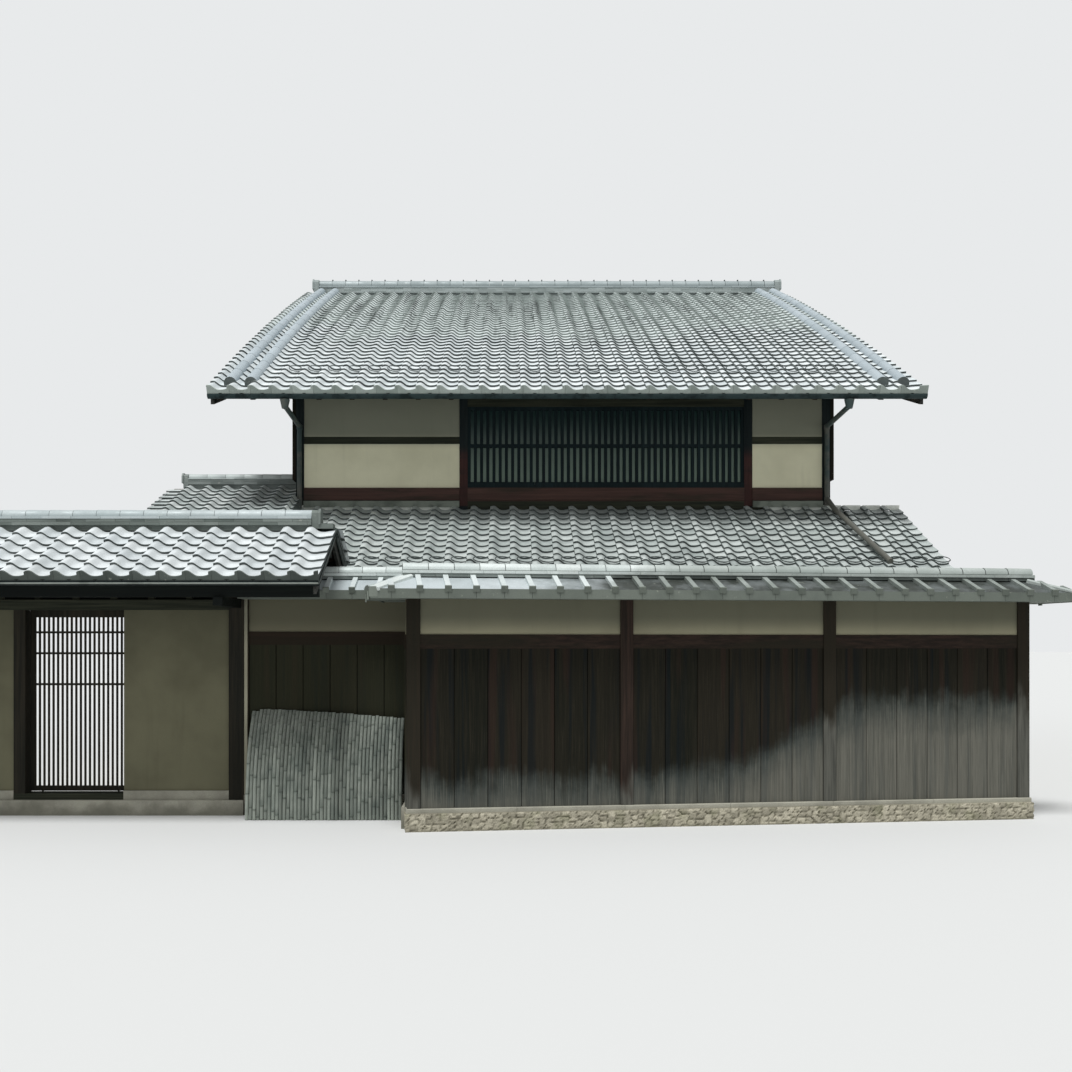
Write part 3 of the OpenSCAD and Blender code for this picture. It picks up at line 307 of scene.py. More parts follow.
def tile_slope(piece, place, x0, n, width, length, courses, drop=None, flat=(0, 0), edges=None):
    """Courses of separate wave tiles, each a little higher at its lower edge, where it laps over the next.

    flat is how many columns at each side have no wave. With a drop the eave tiles get upright faces that hang
    down by it."""
    lap, under = 0.012, 0.05
    uneven = np.array([0.0012, 0.0018, 0.0012, 0.0009])     # aside, along the slope, in tilt and in height
    pitch = length / courses
    column, course = [a.ravel()[:, None] for a in np.meshgrid(np.arange(n), np.arange(courses))]
    count, size = len(column), len(TILE_U)
    aside, along, tilt, raised = rng.normal(0, 1, (4, count, 1)) * uneven[:, None, None]
    across = x0 + (column + TILE_U) * width + aside
    if edges:
        across[column[:, 0] == 0, 0] = edges[0]
        across[column[:, 0] == n - 1, -1] = edges[1]
    low = course * pitch + along
    high = np.minimum(low + pitch + lap, length)
    level = (column < flat[0]) | (column >= n - flat[1])
    height = tile_height(TILE_U, level) + tilt * (TILE_U - 0.5) + raised
    fall = (tile_lift - tile_base) / pitch
    foot = tile_lift - tile_thick
    top, head, edge, back = [place(across, rise, up + height) for rise, up in (
        (low, tile_lift), (high, tile_base), (low, foot), (low + under, foot - fall * under))]
    lip_up = height[:, :1]
    lip_foot = np.where(level, -0.004, lip_low * wave_h - 0.001)
    lip = np.concatenate([place(across[:, :1], rise, up) for rise, up in (
        (low, tile_lift + lip_up), (high, tile_base + lip_up), (high, tile_base + lip_foot),
        (low, tile_lift + lip_foot))], 1)
    seed = rng.random((count, 1))
    tone = rng.random(count)
    for first, second, v0, v1, smooth, kind in (
            (top, head, 0.0, 1.0, True, TILE), (edge, top, 0.0, 0.0, False, FACE),
            (back, edge, 0.2, 0.0, False, FACE)):
        grain = np.concatenate([np.stack(np.broadcast_arrays(TILE_U, v, seed), -1) for v in (v0, v1)], 1)
        piece.add(np.concatenate([first, second], 1), strip_faces(size, 2), tone, grain, smooth, kind)
    piece.add(lip, [(0, 1, 2, 3)], tone, 0.0, kind=FACE)
    if drop is not None:
        eave_faces(piece, place, x0, n, width, drop, flat, edges)


def eave_faces(piece, place, x0, n, width, drop, flat, edges):
    """The upright faces of the eave tiles: a waved top, a straight foot, a seam at each hump and a drain."""
    thick, back, over = 0.016, 0.004, 0.002
    column = np.arange(n)[:, None]
    across = x0 + (column + PLATE_U) * width
    if edges:
        across[0, 0], across[-1, -1] = edges
    level = (column < flat[0]) | (column >= n - flat[1])
    top = tile_lift + tile_height(PLATE_U, level) + over
    rows = np.concatenate([place(across, rise, up) for rise, up in (
        (-thick, -drop), (-thick, top), (back, top), (back, -drop))], 1)
    size = len(PLATE_U)
    faces = strip_faces(size, 4, looped=True)
    faces += [(0, size, 2 * size, 3 * size), (size - 1, 4 * size - 1, 3 * size - 1, 2 * size - 1)]
    piece.add(rows, faces, rng.random(n), 0.5, kind=PLATE)
    drain_up = 0.016 - drop
    for i in range(n):
        centre = x0 + (i + 0.51) * width
        for half, low, high in ((0.019, 0.0, 0.006), (0.004, -0.012, 0.001)):
            piece.block(place, box_points(centre - half, centre + half, -thick - 0.0015, -thick + 0.002,
                                          drain_up + low, drain_up + high), 0.0, kind=DARK)


def head_fill(piece, place, x0, columns, width, rise):
    """Half-moons of mortar that close the troughs at the head of a slope."""
    over = 0.01
    u = TILE_U[2:]
    across = x0 + (columns[:, None] + u) * width
    foot = tile_base + tile_height(u, False) - 0.002
    rows = np.concatenate([
        place(across, rise, np.minimum(foot, tile_base + wave_h * 0.94)),
        place(across, rise + 0.004, np.full(len(u), tile_base + wave_h * 0.95 + over))], 1)
    piece.add(rows, strip_faces(len(u), 2), 0.5, 0.5, kind=FILL)


def snow_rings(piece, place, x0, columns, width, rise, half_w, half_h):
    """Clay hoops that stand on edge in the troughs of one course."""
    n, depth, band, lean = 22, 0.012, 0.008, 0.1
    middle_u, middle_up = 0.53, tile_t + 0.014 + half_h
    angle = np.linspace(0, 2 * np.pi, n, endpoint=False)
    rows = [((half_w - cut) * np.cos(angle), (half_h - cut) * np.sin(angle), shift)
            for cut, shift in ((band, 0), (0, 0), (0, depth), (band, depth))]
    for column in columns:
        centre = x0 + (column + middle_u) * width + rng.normal(0, 0.003)
        points = np.concatenate([
            place(centre + x, rise + shift, middle_up + h - lean * x) for x, h, shift in rows])
        piece.add(points, strip_faces(n, 4, closed=True, looped=True), 0.3 * rng.random(), kind=FACE)


def half_round(piece, place, x, low, high, closed):
    """One length of a round cover on low upright sides, which narrows a little up the slope."""
    sides, taper = 10, 0.001
    angle = np.linspace(np.pi, 0, sides + 1)
    rows = [place(x + np.concatenate([[-r], r * np.cos(angle), [r]]), rise,
                  tile_t + taper + np.concatenate([[0.0], cover_side + r * np.sin(angle), [0.0]]))
            for rise, r in ((low, cover_r + taper), (high, cover_r - taper))]
    tone = rng.random()
    n = sides + 3
    grain = np.stack([np.tile(np.linspace(0, 1, n), 2), np.repeat([0.0, 1.0], n), np.full(2 * n, tone)], -1)
    piece.add(np.concatenate(rows), strip_faces(n, 2), tone, grain, smooth=True)
    if closed:
        piece.add(rows[0], [tuple(range(n - 1, -1, -1))], tone * 0.4, 0.5, kind=FACE)


def verge_flanges(piece, place, edges, length, courses, drop=0.05):
    """The hanging edges of the verge tiles, left and right, which cover the deck's end grain."""
    thick, gap = 0.016, 0.002
    pitch = length / courses
    for x, side in zip(edges, (-1, 1)):
        if x is None:
            continue
        x0, x1 = sorted((x, x - side * thick))
        for i in range(courses):
            low, high = i * pitch + gap, (i + 1) * pitch
            corners = box_points(x0, x1, low, high, -drop, tile_lift)
            upper = (corners[:, 1] > low + 0.01) & (corners[:, 2] > 0)
            corners[:, 2] -= np.where(upper, tile_lift - tile_base, 0)
            piece.block(place, corners, rng.random() * 0.7, 0.5, FACE)


def ridge_cap(piece, place, s0, s1, z, r, pitch=0.234, knob=0.0, curl=35):
    """A row of round ridge tiles with fine joints. knob is the size of a small knob on each joint, or 0.

    curl is how far, in degrees, each side turns in below the middle."""
    sides, joint, taper = 14, 0.0025, 0.0015
    angle = np.linspace(math.radians(180 + curl), math.radians(-curl), sides + 1)
    faces = [face[::-1] for face in strip_faces(sides + 1, 2)]
    count = max(1, math.ceil((s1 - s0) / pitch - 0.2))
    for i in range(count):
        a = s0 + i * pitch
        b = min(a + pitch, s1) if i < count - 1 else s1
        bands = [(a + joint, r + taper), (b - joint, r - taper)]
        rows = [place(s, q * np.cos(angle), z + q * np.sin(angle)) for s, q in bands]
        tone = rng.random()
        grain = np.concatenate([
            np.stack(np.broadcast_arrays(angle, (s - a) / pitch, tone), -1) for s, _ in bands])
        piece.add(np.concatenate(rows), faces, tone, grain, smooth=True)
        if knob and i:
            tie = box_points(a - knob / 2, a + knob / 2, -knob, knob, z + r - 0.004, z + r + knob)
            piece.block(place, tie, 0.1, kind=FACE)
        if i in (0, count - 1):
            row, order = (rows[0], range(sides + 1)) if i == 0 else (rows[-1], range(sides, -1, -1))
            piece.add(row, [tuple(order)], tone * 0.5, 0.5, kind=FACE)


def ridge_courses(piece, place, s0, s1, z, half, courses, course_h, foot, thin_h, fill=COURSE):
    """Flat ridge tiles in courses, stepping in, under one thin wider course, on a core down to the slope."""
    step_in, gap, length, core_in, middle = 0.006, 0.003, 0.292, 0.022, 0.02
    core = box_points(s0 + 0.01, s1 - 0.01, -half + core_in, half - core_in, foot, z + courses * course_h)
    piece.block(place, core, 0.3, kind=fill)
    bands = [(half - i * step_in, z + i * course_h + gap, course_h - gap) for i in range(courses)]
    bands.append((half - (courses - 2) * step_in, z + courses * course_h + gap / 2, thin_h))
    for i, (out, low, slab) in enumerate(bands):
        for a in np.arange(s0 - length * (0.5 if i % 2 else 0.0), s1, length):
            left, right = max(a, s0) + 0.001, min(a + length, s1) - 0.001
            if right - left < 0.02:
                continue
            for side in (-1, 1):
                t0, t1 = sorted((side * middle, side * (out + rng.normal(0, 0.0015))))
                corners = box_points(left, right, t0, t1, low, low + slab)
                piece.block(place, corners, rng.random(), rng.random(), TILE if i == courses else COURSE)


def prism(piece, place, outline, s0, s1, tone=0.5, kind=TILE):
    """A block between two stations, with an outline drawn as (across, up), clockwise from its left."""
    outline = np.array(outline, float)
    n = len(outline)
    points = np.concatenate([place(s, *outline.T) for s in (s0, s1)])
    faces = [tuple(range(n)), tuple(range(2 * n - 1, n - 1, -1))]
    faces += [(i, n + i, n + (i + 1) % n, (i + 1) % n) for i in range(n)]
    piece.add(points, faces, tone, 0.5, kind=kind)


def mirrored(left):
    """An outline from its left half, whose points are (across, up) with the axis at 0."""
    return left + [(-x, z) for x, z in left[::-1]]


def ridge_end(piece, place, s, side, levels, half, length, low_length):
    """The end tile of a ridge: a chamfered block with a raised rim at the cap, over a shorter plain block."""
    foot, middle, top = levels
    chamfer, rim = half * 0.4, 0.012
    low = mirrored([(-half, foot), (-half, middle)])
    prism(piece, place, low, *sorted((s, s + side * low_length)), 0.5, COURSE)
    for grow, start, stop, tone in ((0.0, 0.0, length - rim, 0.7), (rim, length - 0.022, length, 0.9)):
        wide = half + grow
        block = mirrored([(-wide, middle - grow), (-wide, top - chamfer), (-wide + chamfer, top + grow)])
        prism(piece, place, block, *sorted((s + side * start, s + side * stop)), tone, COURSE)


def linear(colour, share=1.0):
    """A screen colour, 0 to 255, in linear light, times a share or a share for each channel."""
    light = [((v / 255 + 0.055) / 1.055) ** 2.4 if v > 10 else v / 255 / 12.92 for v in colour]
    return (*(v * s for v, s in zip(light, share if isinstance(share, tuple) else (share,) * 3)), 1.0)


def feed(tree, socket, value):
    """Links a socket, or sets it where the value is plain. A colour of three numbers is a screen colour."""
    if isinstance(value, bpy.types.NodeSocket):
        tree.links.new(value, socket)
    else:
        socket.default_value = linear(value) if socket.type == "RGBA" and len(value) == 3 else value


def new_node(tree, kind, inputs, output=0, **settings):
    """Adds a shader node, feeds its inputs, given by number or name, and returns one output."""
    node = tree.nodes.new("ShaderNode" + kind)
    for name, value in settings.items():
        setattr(node, name, value)
    for key, value in inputs.items():
        feed(tree, node.inputs[key], value)
    return node.outputs[output]


class Graph:
    """A material's node graph, with short calls for the nodes used here."""

    def __init__(self, name, roughness=0.6, metallic=0.0, specular=0.5):
        self.material = bpy.data.materials.new(name)
        self.material.use_nodes = True
        self.tree = self.material.node_tree
        self.shader = self.tree.nodes["Principled BSDF"].inputs
        self.shader["Roughness"].default_value = roughness
        self.shader["Metallic"].default_value = metallic
        self.shader["Specular IOR Level"].default_value = specular
        self.where = new_node(self.tree, "TexCoord", {}, "Object")

    def attribute(self, name, output="Fac"):
        return new_node(self.tree, "Attribute", {}, output, attribute_name=name)

    def part(self, axis, vector=None):
        """One coordinate of a vector, or of the place in the model."""
        return new_node(self.tree, "SeparateXYZ", {0: vector or self.where}, axis)

    def noise(self, scale, detail=3.0, roughness=0.5, vector=None):
        """Noise in the model's place, or in a vector. A scale of three numbers stretches it."""
        vector = vector or self.where
        if isinstance(scale, (tuple, list)):
            vector = new_node(self.tree, "VectorMath", {0: vector, 1: scale}, operation="MULTIPLY")
            scale = 1.0
        inputs = {"Vector": vector, "Scale": scale, "Detail": detail, "Roughness": roughness}
        return new_node(self.tree, "TexNoise", inputs, "Fac")

    def math(self, operation, a, b=0.0):
        return new_node(self.tree, "Math", {0: a, 1: b}, operation=operation)

    def times(self, a, b):
        return self.math("MULTIPLY", a, b)

    def span(self, value, low, high, to_low=0.0, to_high=1.0):
        """Carries a value from one span smoothly to another, and holds it beyond the ends."""
        inputs = dict(enumerate((value, low, high, to_low, to_high)))
        return new_node(self.tree, "MapRange", inputs, interpolation_type="SMOOTHSTEP")

    def mix(self, share, a, b):
        return new_node(self.tree, "Mix", {0: share, 6: a, 7: b}, 2, data_type="RGBA")

    def over(self, colour, mask, share, top):
        """Lays a colour over another where the mask is, at most by the share."""
        return self.mix(self.times(mask, share), colour, top)

    def bump(self, height, distance, strength):
        inputs = {"Distance": distance, "Strength": strength, "Height": height}
        feed(self.tree, self.shader["Normal"], new_node(self.tree, "Bump", inputs))

    def finish(self, colour, roughness=None):
        feed(self.tree, self.shader["Base Color"], colour)
        if roughness is not None:
            feed(self.tree, self.shader["Roughness"], roughness)
        return self.material


SOOT_AND_SHADE = (108, 116, 115)
MATT = (0.0, 0.7)       # metallic and roughness of tile faces in shade


def tile_finish(name, dark, pale, soot_and_shade=SOOT_AND_SHADE, metallic=0.1, roughness=0.5, high=None, stain_share=0.45,
                lap=0.0, grime_and_shade=None):
    """Smoked clay: a silver grey that differs from tile to tile, with soot, fine speckle and a little lichen.

    high is the colour of the main roof's upper part, which has streaks that run down the slope: duller on the
    tops, and lighter on the upright faces, where their painted shade fades.
    lap is how much painted shade, in the soot colour, lies up under the next course and on the falling side
    of each wave.
    The last argument gives the span of X over which the tiles turn darker, by how much, and to what colour;
    on the street wall's roof this is partly grime and partly painted shade."""
    g = Graph(name, metallic=metallic, specular=0.4)
    colour = g.mix(g.attribute("tone"), dark, pale)
    colour = g.over(colour, g.span(g.noise(1.7, 6.0, 0.62), 0.46, 0.74), stain_share, soot_and_shade)
    # Painted shade: the soot colour lies up under the next course and on the falling flank of each wave.
    if lap:
        grain = g.attribute("grain", "Vector")
        across, up = g.part("X", grain), g.part("Y", grain)
        flank = g.times(g.span(across, -0.06, 0.12), g.span(across, 0.2, 0.42, 1.0, 0.0))
        colour = g.over(colour, g.math("MAXIMUM", g.span(up, 0.45, 0.95), g.times(flank, 0.7)), lap, soot_and_shade)
    colour = g.over(colour, g.span(g.noise(95.0, 3.0, 0.6), 0.35, 0.7), 0.18, soot_and_shade)
    # Up the main roof the colour turns to high; on its upright faces that lightens their painted shade.
    if high is not None:
        level = g.math("ADD", g.part("Z"), g.span(g.noise(0.8, 4.0), 0.3, 0.7, -0.35, 0.35))
        colour = g.over(colour, g.span(level, 5.8, 6.35), 0.8, high)
        streaks = g.span(g.noise((9.5, 0.4, 0.4), 5.0, 0.62), 0.5, 0.7)
        colour = g.over(colour, streaks, g.span(level, 5.4, 6.6, 0.1, 0.65), soot_and_shade)
    # Darker along X: on the street wall's roof partly grime and partly painted shade.
    if grime_and_shade is not None:
        start, stop, share, dull = grime_and_shade
        across = g.math("ADD", g.part("X"), g.span(g.noise(2.2, 5.0, 0.65), 0.3, 0.7, -0.25, 0.25))
        uneven = g.span(g.noise(3.4, 5.0, 0.65), 0.3, 0.6, 0.78, 1.0)
        colour = g.over(colour, g.span(across, start, stop, 0.0, share), uneven, dull)
    colour = g.over(colour, g.span(g.noise(13.0, 5.0, 0.7), 0.63, 0.72), 0.35, (206, 208, 194))
    g.bump(g.noise(140.0, 4.0, 0.6), 0.0012, 0.5)
    return g.finish(colour, g.span(g.noise(6.0, 4.0), 0.3, 0.7, roughness - 0.06, roughness + 0.2))


def along_grain(axis, across, along):
    """The scales of a noise that is stretched along one axis."""
    return [along if name == axis else across for name in "XYZ"]


def wood_finish(name, dark, pale, axis, other_colour=None, reddish=None, within=None):
    """Old timber with its grain along one axis, dark streaks and a dull face.

    worn is the colour of patches. reddish gives a span of heights, from the ground, and the redder colour
    that the timber has there, and within is how far from the middle of the front that colour reaches."""
    g = Graph(name, specular=0.12)
    stretch = along_grain(axis, 34.0, 1.3)
    lines = g.noise(stretch, 6.0, 0.65)
    streak = g.span(lines, 0.3, 0.72)
    colour = g.mix(streak, dark, pale)
    colour = g.over(colour, g.span(g.noise([s / 9 for s in stretch]), 0.4, 0.7), 0.6, dark)
    if reddish is not None:
        low, high, red = reddish
        height = g.part("Z")
        inside = g.times(g.span(height, low - 0.01, low), g.span(height, high, high + 0.2, 1.0, 0.0))
        inside = g.times(inside, g.span(g.noise((1.3, 9.0, 9.0), 4.0, 0.6), 0.32, 0.52, 0.45, 1.0))
        if within is not None:
            inside = g.times(inside, g.math("LESS_THAN", g.math("ABSOLUTE", g.part("X")), within))
        colour = g.mix(inside, colour, g.mix(streak, linear(red, 0.6), red))
    if other_colour is not None:
        colour = g.over(colour, g.span(g.noise(3.1, 5.0, 0.65), 0.5, 0.75), 0.4, other_colour)
    g.bump(lines, 0.0016, 0.6)
    return g.finish(colour, g.span(lines, 0.2, 0.8, 0.56, 0.8))


def washed_height(g):
    """Height up to which rain and splashes have washed the street wall's wood grey: higher to the right."""
    return g.span(g.part("X"), 0.9, 2.95, 0.44, 1.17)


def board_finish(name):
    """Charred boards, brown black above and washed out to a smoky grey near the ground."""
    g = Graph(name, specular=0.06)
    grain = g.attribute("grain", "Vector")
    lines = g.noise((46.0, 46.0, 1.1), 7.0, 0.68, grain)
    fibres = g.noise((170.0, 170.0, 3.0), 4.0, 0.6, grain)
    streak = g.noise((13.0, 13.0, 0.5), vector=grain)
    dark = g.mix(g.attribute("tone"), (22, 24, 19), (36, 33, 27))
    dark = g.over(dark, g.span(lines, 0.35, 0.75), 0.45, (52, 48, 39))
    dark = g.over(dark, g.span(fibres, 0.5, 0.75), 0.4, (62, 58, 48))
    dark = g.over(dark, g.span(streak, 0.5, 0.66), 0.6, (15, 23, 27))
    dark = g.over(dark, g.span(g.noise((9.0, 9.0, 0.4), 2.0, vector=grain), 0.54, 0.7), 0.4, (52, 37, 32))
    recess = g.times(g.math("LESS_THAN", g.part("X"), -1.6), g.math("LESS_THAN", g.part("Z"), 2.5))
    dark = g.over(dark, recess, 0.4, (62, 64, 48))
    ragged = g.noise((9.0, 9.0, 0.35), 5.0, 0.7, grain)
    limit = g.math("ADD", washed_height(g), g.span(ragged, 0.3, 0.75, -0.05, 0.07))
    limit = g.math("ADD", limit, g.span(g.noise(1.6, 5.0, 0.65), 0.3, 0.7, -0.08, 0.08))
    under = g.math("SUBTRACT", limit, g.part("Z"))
    grey = g.mix(g.span(under, 0.0, 0.42), (62, 67, 64), (104, 103, 95))
    grey = g.over(grey, g.span(lines, 0.4, 0.65), 0.5, (66, 67, 62))
    grey = g.over(grey, g.span(fibres, 0.5, 0.72), 0.4, (132, 132, 121))
    grey = g.over(grey, g.span(streak, 0.48, 0.68), 0.4, (58, 64, 64))
    g.bump(g.math("ADD", lines, g.times(fibres, 0.4)), 0.0024, 0.8)
    return g.finish(g.mix(g.span(under, -0.12, 0.14), dark, grey), g.span(lines, 0.2, 0.8, 0.6, 0.86))


def post_finish(name, axis="Z"):
    """Timber posts and rails of the street wall: reddish brown, with feet that the rain has greyed."""
    g = Graph(name, specular=0.1)
    stretch = along_grain(axis, 36.0, 1.4)
    lines = g.noise(stretch, 6.0, 0.66)
    colour = g.mix(g.span(lines, 0.3, 0.72), (33, 27, 23), (58, 46, 40))
    colour = g.over(colour, g.span(g.noise([s / 10 for s in stretch]), 0.4, 0.6), 0.65, (37, 37, 28))
    colour = g.over(colour, g.math("LESS_THAN", g.part("X"), -1.6), 0.6, (44, 38, 29))
    shift = g.span(g.noise((9.0, 9.0, 2.0), 4.0), 0.3, 0.7, -0.12, 0.12)
    under = g.math("SUBTRACT", g.math("ADD", washed_height(g), shift), g.part("Z"))
    grey = g.mix(g.span(lines, 0.35, 0.7), (104, 104, 97), (68, 70, 66))
    g.bump(lines, 0.0018, 0.6)
    colour = g.mix(g.span(under, -0.1, 0.22, 0.0, 0.8), colour, grey)
    return g.finish(colour, g.span(lines, 0.2, 0.8, 0.6, 0.85))


def plaster_finish(name, pale, dark, shaded=None, shade=0.6, shade_left_of=None):
    """Earth plaster: warm, slightly uneven, with faint trowel marks and a little dirt.

    shaded gives the heights, from the ground, over which painted shade darkens the plaster under an eave, and
    shade how much. Left of the X given last, painted shade darkens the plaster of the recess."""
    g = Graph(name, roughness=0.9, specular=0.2)
    colour = g.mix(g.span(g.noise(0.9, 4.0, 0.6), 0.35, 0.7), pale, dark)
    colour = g.over(colour, g.span(g.noise(60.0, 4.0, 0.7), 0.5, 0.75), 0.25, dark)
    colour = g.over(colour, g.span(g.noise((9.0, 9.0, 0.7), 4.0), 0.55, 0.8), 0.25, linear(dark, 0.7))
    # Painted shade under an eave, in a cooler dark colour.
    if shaded is not None:
        colour = g.mix(g.span(g.part("Z"), *shaded, 0.0, shade), colour, linear(dark, (0.19, 0.215, 0.24)))
    # Painted shade in the recess, left of a given X.
    if shade_left_of is not None:
        colour = g.over(colour, g.math("LESS_THAN", g.part("X"), shade_left_of), 0.55, linear(dark, 0.3))
    g.bump(g.math("ADD", g.noise(70.0, 5.0, 0.6), g.noise(5.0)), 0.0025, 0.5)
    return g.finish(colour)


def stone_finish(name, pale, dark, scale=1.0):
    """Weathered stone or old concrete, with grit, stains and soft moss near the ground."""
    g = Graph(name, roughness=0.88, specular=0.3)
    colour = g.mix(g.span(g.noise(2.3 * scale, 6.0, 0.62), 0.35, 0.68), pale, dark)
    colour = g.over(colour, g.span(g.noise(120.0 * scale, 3.0, 0.7), 0.4, 0.7), 0.4, linear(dark, 0.55))
    damp = g.math("ADD", g.part("Z"), g.span(g.noise(4.0, 4.0), 0.2, 0.8, -0.08, 0.08))
    g.bump(g.math("ADD", g.noise(80.0, 5.0, 0.7), g.noise(9.0)), 0.004, 0.7)
    return g.finish(g.mix(g.span(damp, 0.0, 0.16, 0.6, 0.0), colour, (84, 84, 72)))


def metal_finish(name, colour, other_colour, metallic=0.0, specular=0.2, low=None):
    """Painted or weathered sheet metal in patches. Below the height low the second colour takes over: on the
    pipes their paler lower paint, on the gate's gutter painted shade.
    """
    g = Graph(name, metallic=metallic, specular=specular)
    patch = g.span(g.noise(7.0, 6.0, 0.65), 0.42, 0.68)
    mixed = g.over(colour, patch, 0.7, other_colour)
    if low is not None:
        mixed = g.mix(g.span(g.part("Z"), low, low + 0.5, 0.85, 0.0), mixed, other_colour)
    g.bump(g.noise(60.0, 4.0), 0.0008, 0.4)
    return g.finish(mixed, g.span(patch, 0.0, 1.0, 0.6, 0.85))


def bamboo_finish(name):
    """Split bamboo gone silver grey, with dark nodes and fine lines along each strip."""
    g = Graph(name, specular=0.2)
    lines = g.noise((190.0, 60.0, 2.2), 5.0, 0.6, g.attribute("grain", "Vector"))
    colour = g.mix(g.attribute("tone"), (40, 47, 43), (160, 167, 157))
    light = g.times(g.span(g.part("X"), -2.9, -2.1, 1.0, 0.0), g.span(g.part("Z"), 0.5, 0.95))
    colour = g.over(colour, light, 0.4, (176, 180, 170))
    colour = g.over(colour, g.span(lines, 0.4, 0.75), 0.5, (62, 69, 65))
    colour = g.over(colour, g.span(g.noise((5.0, 5.0, 4.0), 5.0, 0.65), 0.42, 0.7), 0.4, (76, 88, 84))
    g.bump(lines, 0.001, 0.6)
    return g.finish(colour, g.span(lines, 0.2, 0.8, 0.55, 0.8))


def pane_finish(name):
    """Old frosted panes: pale green grey at a window's foot, turning dark and greenish towards its top:
    painted shade under the eave.
    """
    g = Graph(name, roughness=0.3, specular=0.4)
    height = g.math("ADD", g.part("Z"), g.span(g.noise(1.5, 4.0), 0.3, 0.7, -0.08, 0.08))
    return g.finish(g.mix(g.span(height, 3.62, 4.55), (130, 154, 136), (38, 67, 65)))


def rubble_finish(name):
    """Small field stones in pale mortar, each its own tone, with grit and moss in the joints."""
    g = Graph(name, roughness=0.9, specular=0.25)
    colour = g.mix(g.attribute("tone"), (108, 104, 90), (200, 194, 174))
    grit = g.noise(85.0, 5.0, 0.7)
    colour = g.over(colour, g.span(grit, 0.45, 0.65), 0.5, (92, 88, 74))
    colour = g.over(colour, g.span(grit, 0.35, 0.2), 0.5, (214, 208, 190))
    colour = g.over(colour, g.span(g.noise(6.0, 4.0), 0.5, 0.7), 0.35, (104, 108, 76))
    g.bump(grit, 0.005, 0.8)
    return g.finish(colour)


def earth_finish(name):
    """Beaten earth with broad patches and soft lumps."""
    g = Graph(name, roughness=0.95, specular=0.15)
    g.bump(g.noise(30.0, 6.0, 0.7), 0.006, 0.6)
    return g.finish(g.mix(g.span(g.noise(1.4, 6.0, 0.65), 0.3, 0.7), (128, 116, 98), (98, 90, 78)))


def plain_finish(name, colour, shade=0.6):
    """A dull surface that lies mostly in shade, with a slight change of tone."""
    g = Graph(name, roughness=0.8, specular=0.2)
    g.bump(g.noise(40.0, 4.0), 0.002, 0.4)
    return g.finish(g.mix(g.span(g.noise(12.0, 5.0), 0.3, 0.7), colour, linear(colour, shade)))


# lap paints shade under each next course and on the falling flanks of the waves.
tile = tile_finish("roof_tile", (212, 219, 221), (236, 241, 242), stain_share=0.25, lap=0.25)
main_tile = tile_finish("main_roof_tile", (216, 224, 226), (240, 246, 247), high=(206, 215, 213),
                        stain_share=0.2, lap=0.3)
low_tile = tile_finish("lower_roof_tile", (180, 189, 186), (208, 215, 212), stain_share=0.4, lap=0.35)
wing_tile = tile_finish("wing_roof_tile", (184, 193, 191), (226, 232, 230), stain_share=0.35, lap=0.3)
wall_tile = tile_finish("wall_roof_tile", (198, 207, 204), (224, 231, 228), stain_share=0.2,
                        grime_and_shade=(0.2, 0.9, 0.62, (126, 135, 128)))
# Along the wall the pans darken almost to black: partly grime and partly painted shade.
wall_pan = tile_finish("wall_roof_pan", (178, 188, 190), (202, 210, 212), stain_share=0.3,
                       grime_and_shade=(-0.7, 0.3, 1.0, (46, 51, 46)))
wall_rib = tile_finish("wall_roof_rib", (200, 209, 208), (224, 231, 230), stain_share=0.2,
                       grime_and_shade=(0.0, 0.5, 0.9, (120, 128, 121)))
# The ridge course's clay, darker than the caps and ribs, is painted shade.
wall_course = tile_finish("wall_ridge_tile", (118, 126, 122), (148, 156, 152), SOOT_AND_SHADE, *MATT,
                          grime_and_shade=(-0.1, 0.5, 0.9, (62, 69, 65)))
cover_tile = tile_finish("cover_tile", (166, 178, 184), (180, 191, 197), stain_share=0.15)
gate_cap = tile_finish("gate_ridge_cap", (170, 181, 182), (190, 199, 200), stain_share=0.2)
main_cap = tile_finish("main_ridge_cap", (148, 159, 160), (166, 176, 177), stain_share=0.2)
# tile_face to main_ridge_face: the same smoked clay made darker than the tiles' tops, with tones often set
# low, on upright faces, ends, lips, rings, flanges, eave tiles and ridge courses: painted shade. main_face
# lightens up the main roof.
tile_face = tile_finish("tile_face", (84, 91, 90), (106, 113, 111), (56, 60, 58), *MATT)
wall_face = tile_finish("wall_tile_face", (96, 103, 95), (124, 131, 122), (74, 80, 76), *MATT)
main_face = tile_finish("main_tile_face", (84, 91, 90), (106, 113, 111), (70, 75, 73), *MATT,
                        high=(172, 180, 176))
main_plate = tile_finish("main_eave_plate", (154, 164, 158), (184, 193, 187), (96, 102, 95), *MATT)
plate = tile_finish("eave_plate", (66, 74, 70), (92, 100, 95), (50, 55, 52), *MATT)
ridge_face = tile_finish("ridge_tile", (112, 120, 117), (146, 153, 150), (80, 86, 84), 0.1, 0.6)
gate_ridge_face = tile_finish("gate_ridge_tile", (100, 109, 104), (132, 140, 135), (70, 76, 72), *MATT)
main_ridge_face = tile_finish("main_ridge_tile", (142, 152, 150), (172, 181, 180), (96, 103, 100), *MATT)
# Near black: painted shade in the thin dark lines of the street wall's ridges, under the course and under the
# caps. It also colours the drain marks of the eave tiles.
mortar = plain_finish("painted_shade_mortar", (40, 41, 37))
pale_mortar = plain_finish("pale_mortar", (250, 252, 244), 0.85)
timber_x = wood_finish("timber_level", (32, 36, 28), (63, 65, 53), "X", reddish=(3.46, 3.63, (88, 66, 60)))
